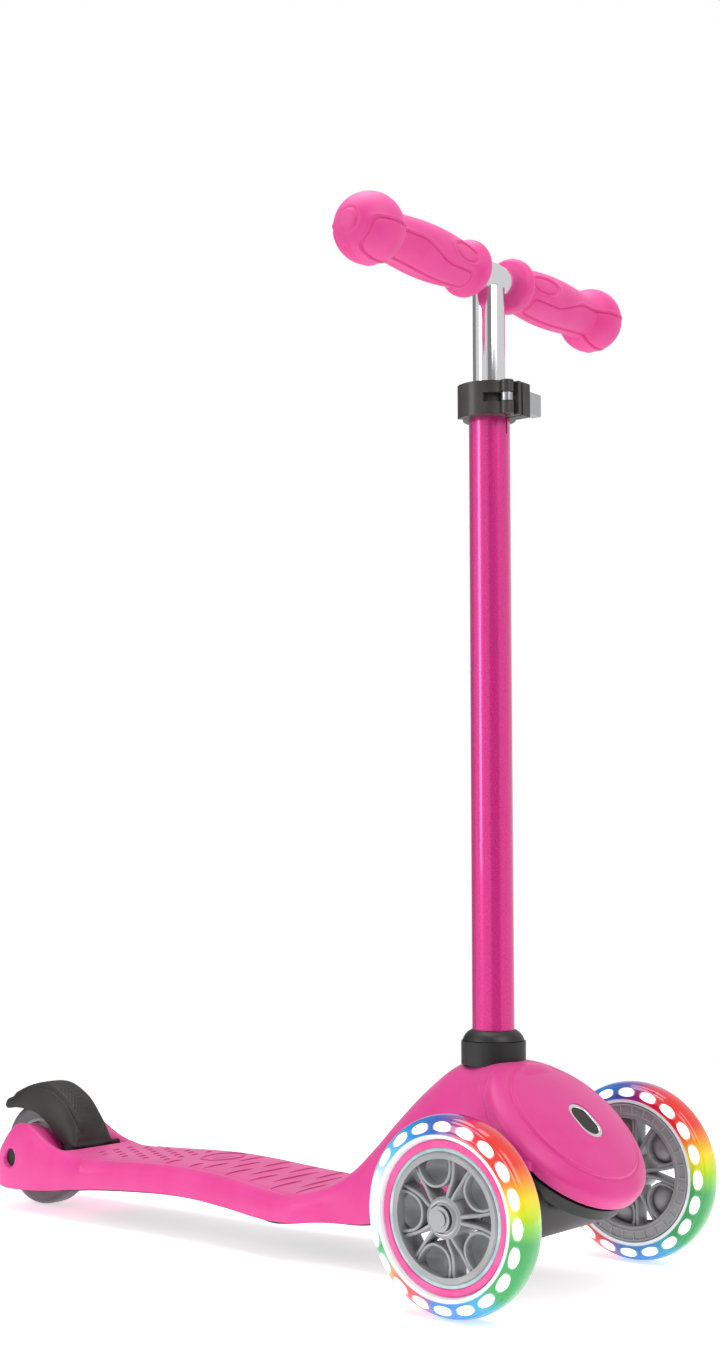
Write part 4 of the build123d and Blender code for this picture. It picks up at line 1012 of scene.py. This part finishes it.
# ---------------------------------------------------------------- studio
def studio():
    """Pale floor that fades into a pale world, which carries two dim upright screens."""
    half, down = 3.0, -0.0005
    corners = [(-half, -half, down), (half, -half, down), (half, half, down), (-half, half, down)]
    data = bpy.data.meshes.new("floor")
    data.from_pydata(corners, [], [(0, 1, 2, 3)])
    floor = bpy.data.objects.new("floor", data)
    bpy.context.scene.collection.objects.link(floor)
    material, tree, bsdf, where = start("studio_floor")
    far = add(tree, "ShaderNodeVectorMath", {0: where}, operation="LENGTH")
    fade = add(tree, "ShaderNodeMapRange", {"Value": far.outputs["Value"], "From Min": 0.45, "From Max": 1.1,
                                            "To Min": 1.0, "To Max": 0.0}, interpolation_type="SMOOTHSTEP")
    tree.links.new(fade.outputs["Result"], bsdf.inputs["Alpha"])
    shader(bsdf, Base_Color=colour("#ffffff"), Roughness=0.6, Emission_Color=(1, 1, 1, 1),
           Emission_Strength=0.55)
    data.materials.append(material)
    world = bpy.data.worlds.new("studio")
    bpy.context.scene.world = world
    world.use_nodes = True
    sky = world.node_tree
    # the screens show as upright streaks in bright metal and lacquer: the world is dimmer in two bearings
    split = add(sky, "ShaderNodeSeparateXYZ", {"Vector": add(sky, "ShaderNodeTexCoord").outputs["Generated"]})
    bearing = add(sky, "ShaderNodeMath", {0: split.outputs["Y"], 1: split.outputs["X"]}, operation="ARCTAN2")
    light, edge_deg = 1.0, 6
    for middle_deg, half_deg in ((-128.0, 26.0), (78.0, 30.0)):
        away = add(sky, "ShaderNodeMath", {0: bearing.outputs["Value"], 1: math.radians(middle_deg)},
                   operation="SUBTRACT")
        near = add(sky, "ShaderNodeMath", {0: away.outputs["Value"]}, operation="ABSOLUTE")
        screen = add(sky, "ShaderNodeMapRange", {"Value": near.outputs["Value"],
                                                 "From Min": math.radians(half_deg - edge_deg),
                                                 "From Max": math.radians(half_deg + edge_deg),
                                                 "To Min": 0.32, "To Max": 1.0})
        both = add(sky, "ShaderNodeMath", {0: light, 1: screen.outputs["Result"]}, operation="MULTIPLY")
        light = both.outputs["Value"]
    above = add(sky, "ShaderNodeMapRange", {"Value": split.outputs["Z"], "From Min": 0.35, "From Max": 0.8})
    filled = add(sky, "ShaderNodeMath", {0: light, 1: above.outputs["Result"]}, operation="MAXIMUM")
    soft = add(sky, "ShaderNodeMath", {0: filled.outputs["Value"], 1: 0.66}, operation="MULTIPLY")
    path = add(sky, "ShaderNodeLightPath")
    strength = add(sky, "ShaderNodeMix", {"Factor": path.outputs["Is Camera Ray"], "A": soft.outputs["Value"],
                                          "B": 1.0})
    sky.links.new(strength.outputs["Result"], sky.nodes["Background"].inputs["Strength"])
    sky.nodes["Background"].inputs["Color"].default_value = (1, 1, 1, 1)


def soft_light(name, at, aim, size, power):
    """Rectangular lamp at one point, aimed at another."""
    lamp = bpy.data.lights.new(name, "AREA")
    lamp.shape = "RECTANGLE"
    lamp.size, lamp.size_y = size
    lamp.energy = power
    holder = bpy.data.objects.new(name, lamp)
    holder.location = at
    holder.rotation_euler = (Vector(aim) - Vector(at)).to_track_quat("-Z", "Y").to_euler()
    bpy.context.scene.collection.objects.link(holder)


def camera():
    """Camera low in front, on the scooter's right-hand side, looking slightly up."""
    turn, lift = math.radians(-51.24), math.radians(-5.42)
    back = Vector((math.sin(turn) * math.cos(lift), -math.cos(turn) * math.cos(lift), math.sin(lift)))
    lens = bpy.data.cameras.new("camera")
    lens.lens = 49.6
    lens.sensor_width = 36.0
    holder = bpy.data.objects.new("camera", lens)
    holder.location = to_frame((-1037.85, -675.86, 272.69))
    holder.rotation_euler = back.to_track_quat("Z", "Y").to_euler()
    bpy.context.scene.collection.objects.link(holder)
    bpy.context.scene.camera = holder


studio()
camera()
soft_light("key", (-0.4, -1.6, 1.6), (0, -0.1, 0.25), (1.2, 1.2), 13)
soft_light("side", (-1.8, 0.8, 1.0), (0, 0, 0.25), (0.5, 1.6), 10)
soft_light("top", (0.0, 0.2, 2.2), (0, 0.05, 0), (1.4, 1.4), 19)
bpy.context.scene.view_settings.view_transform = "Standard"
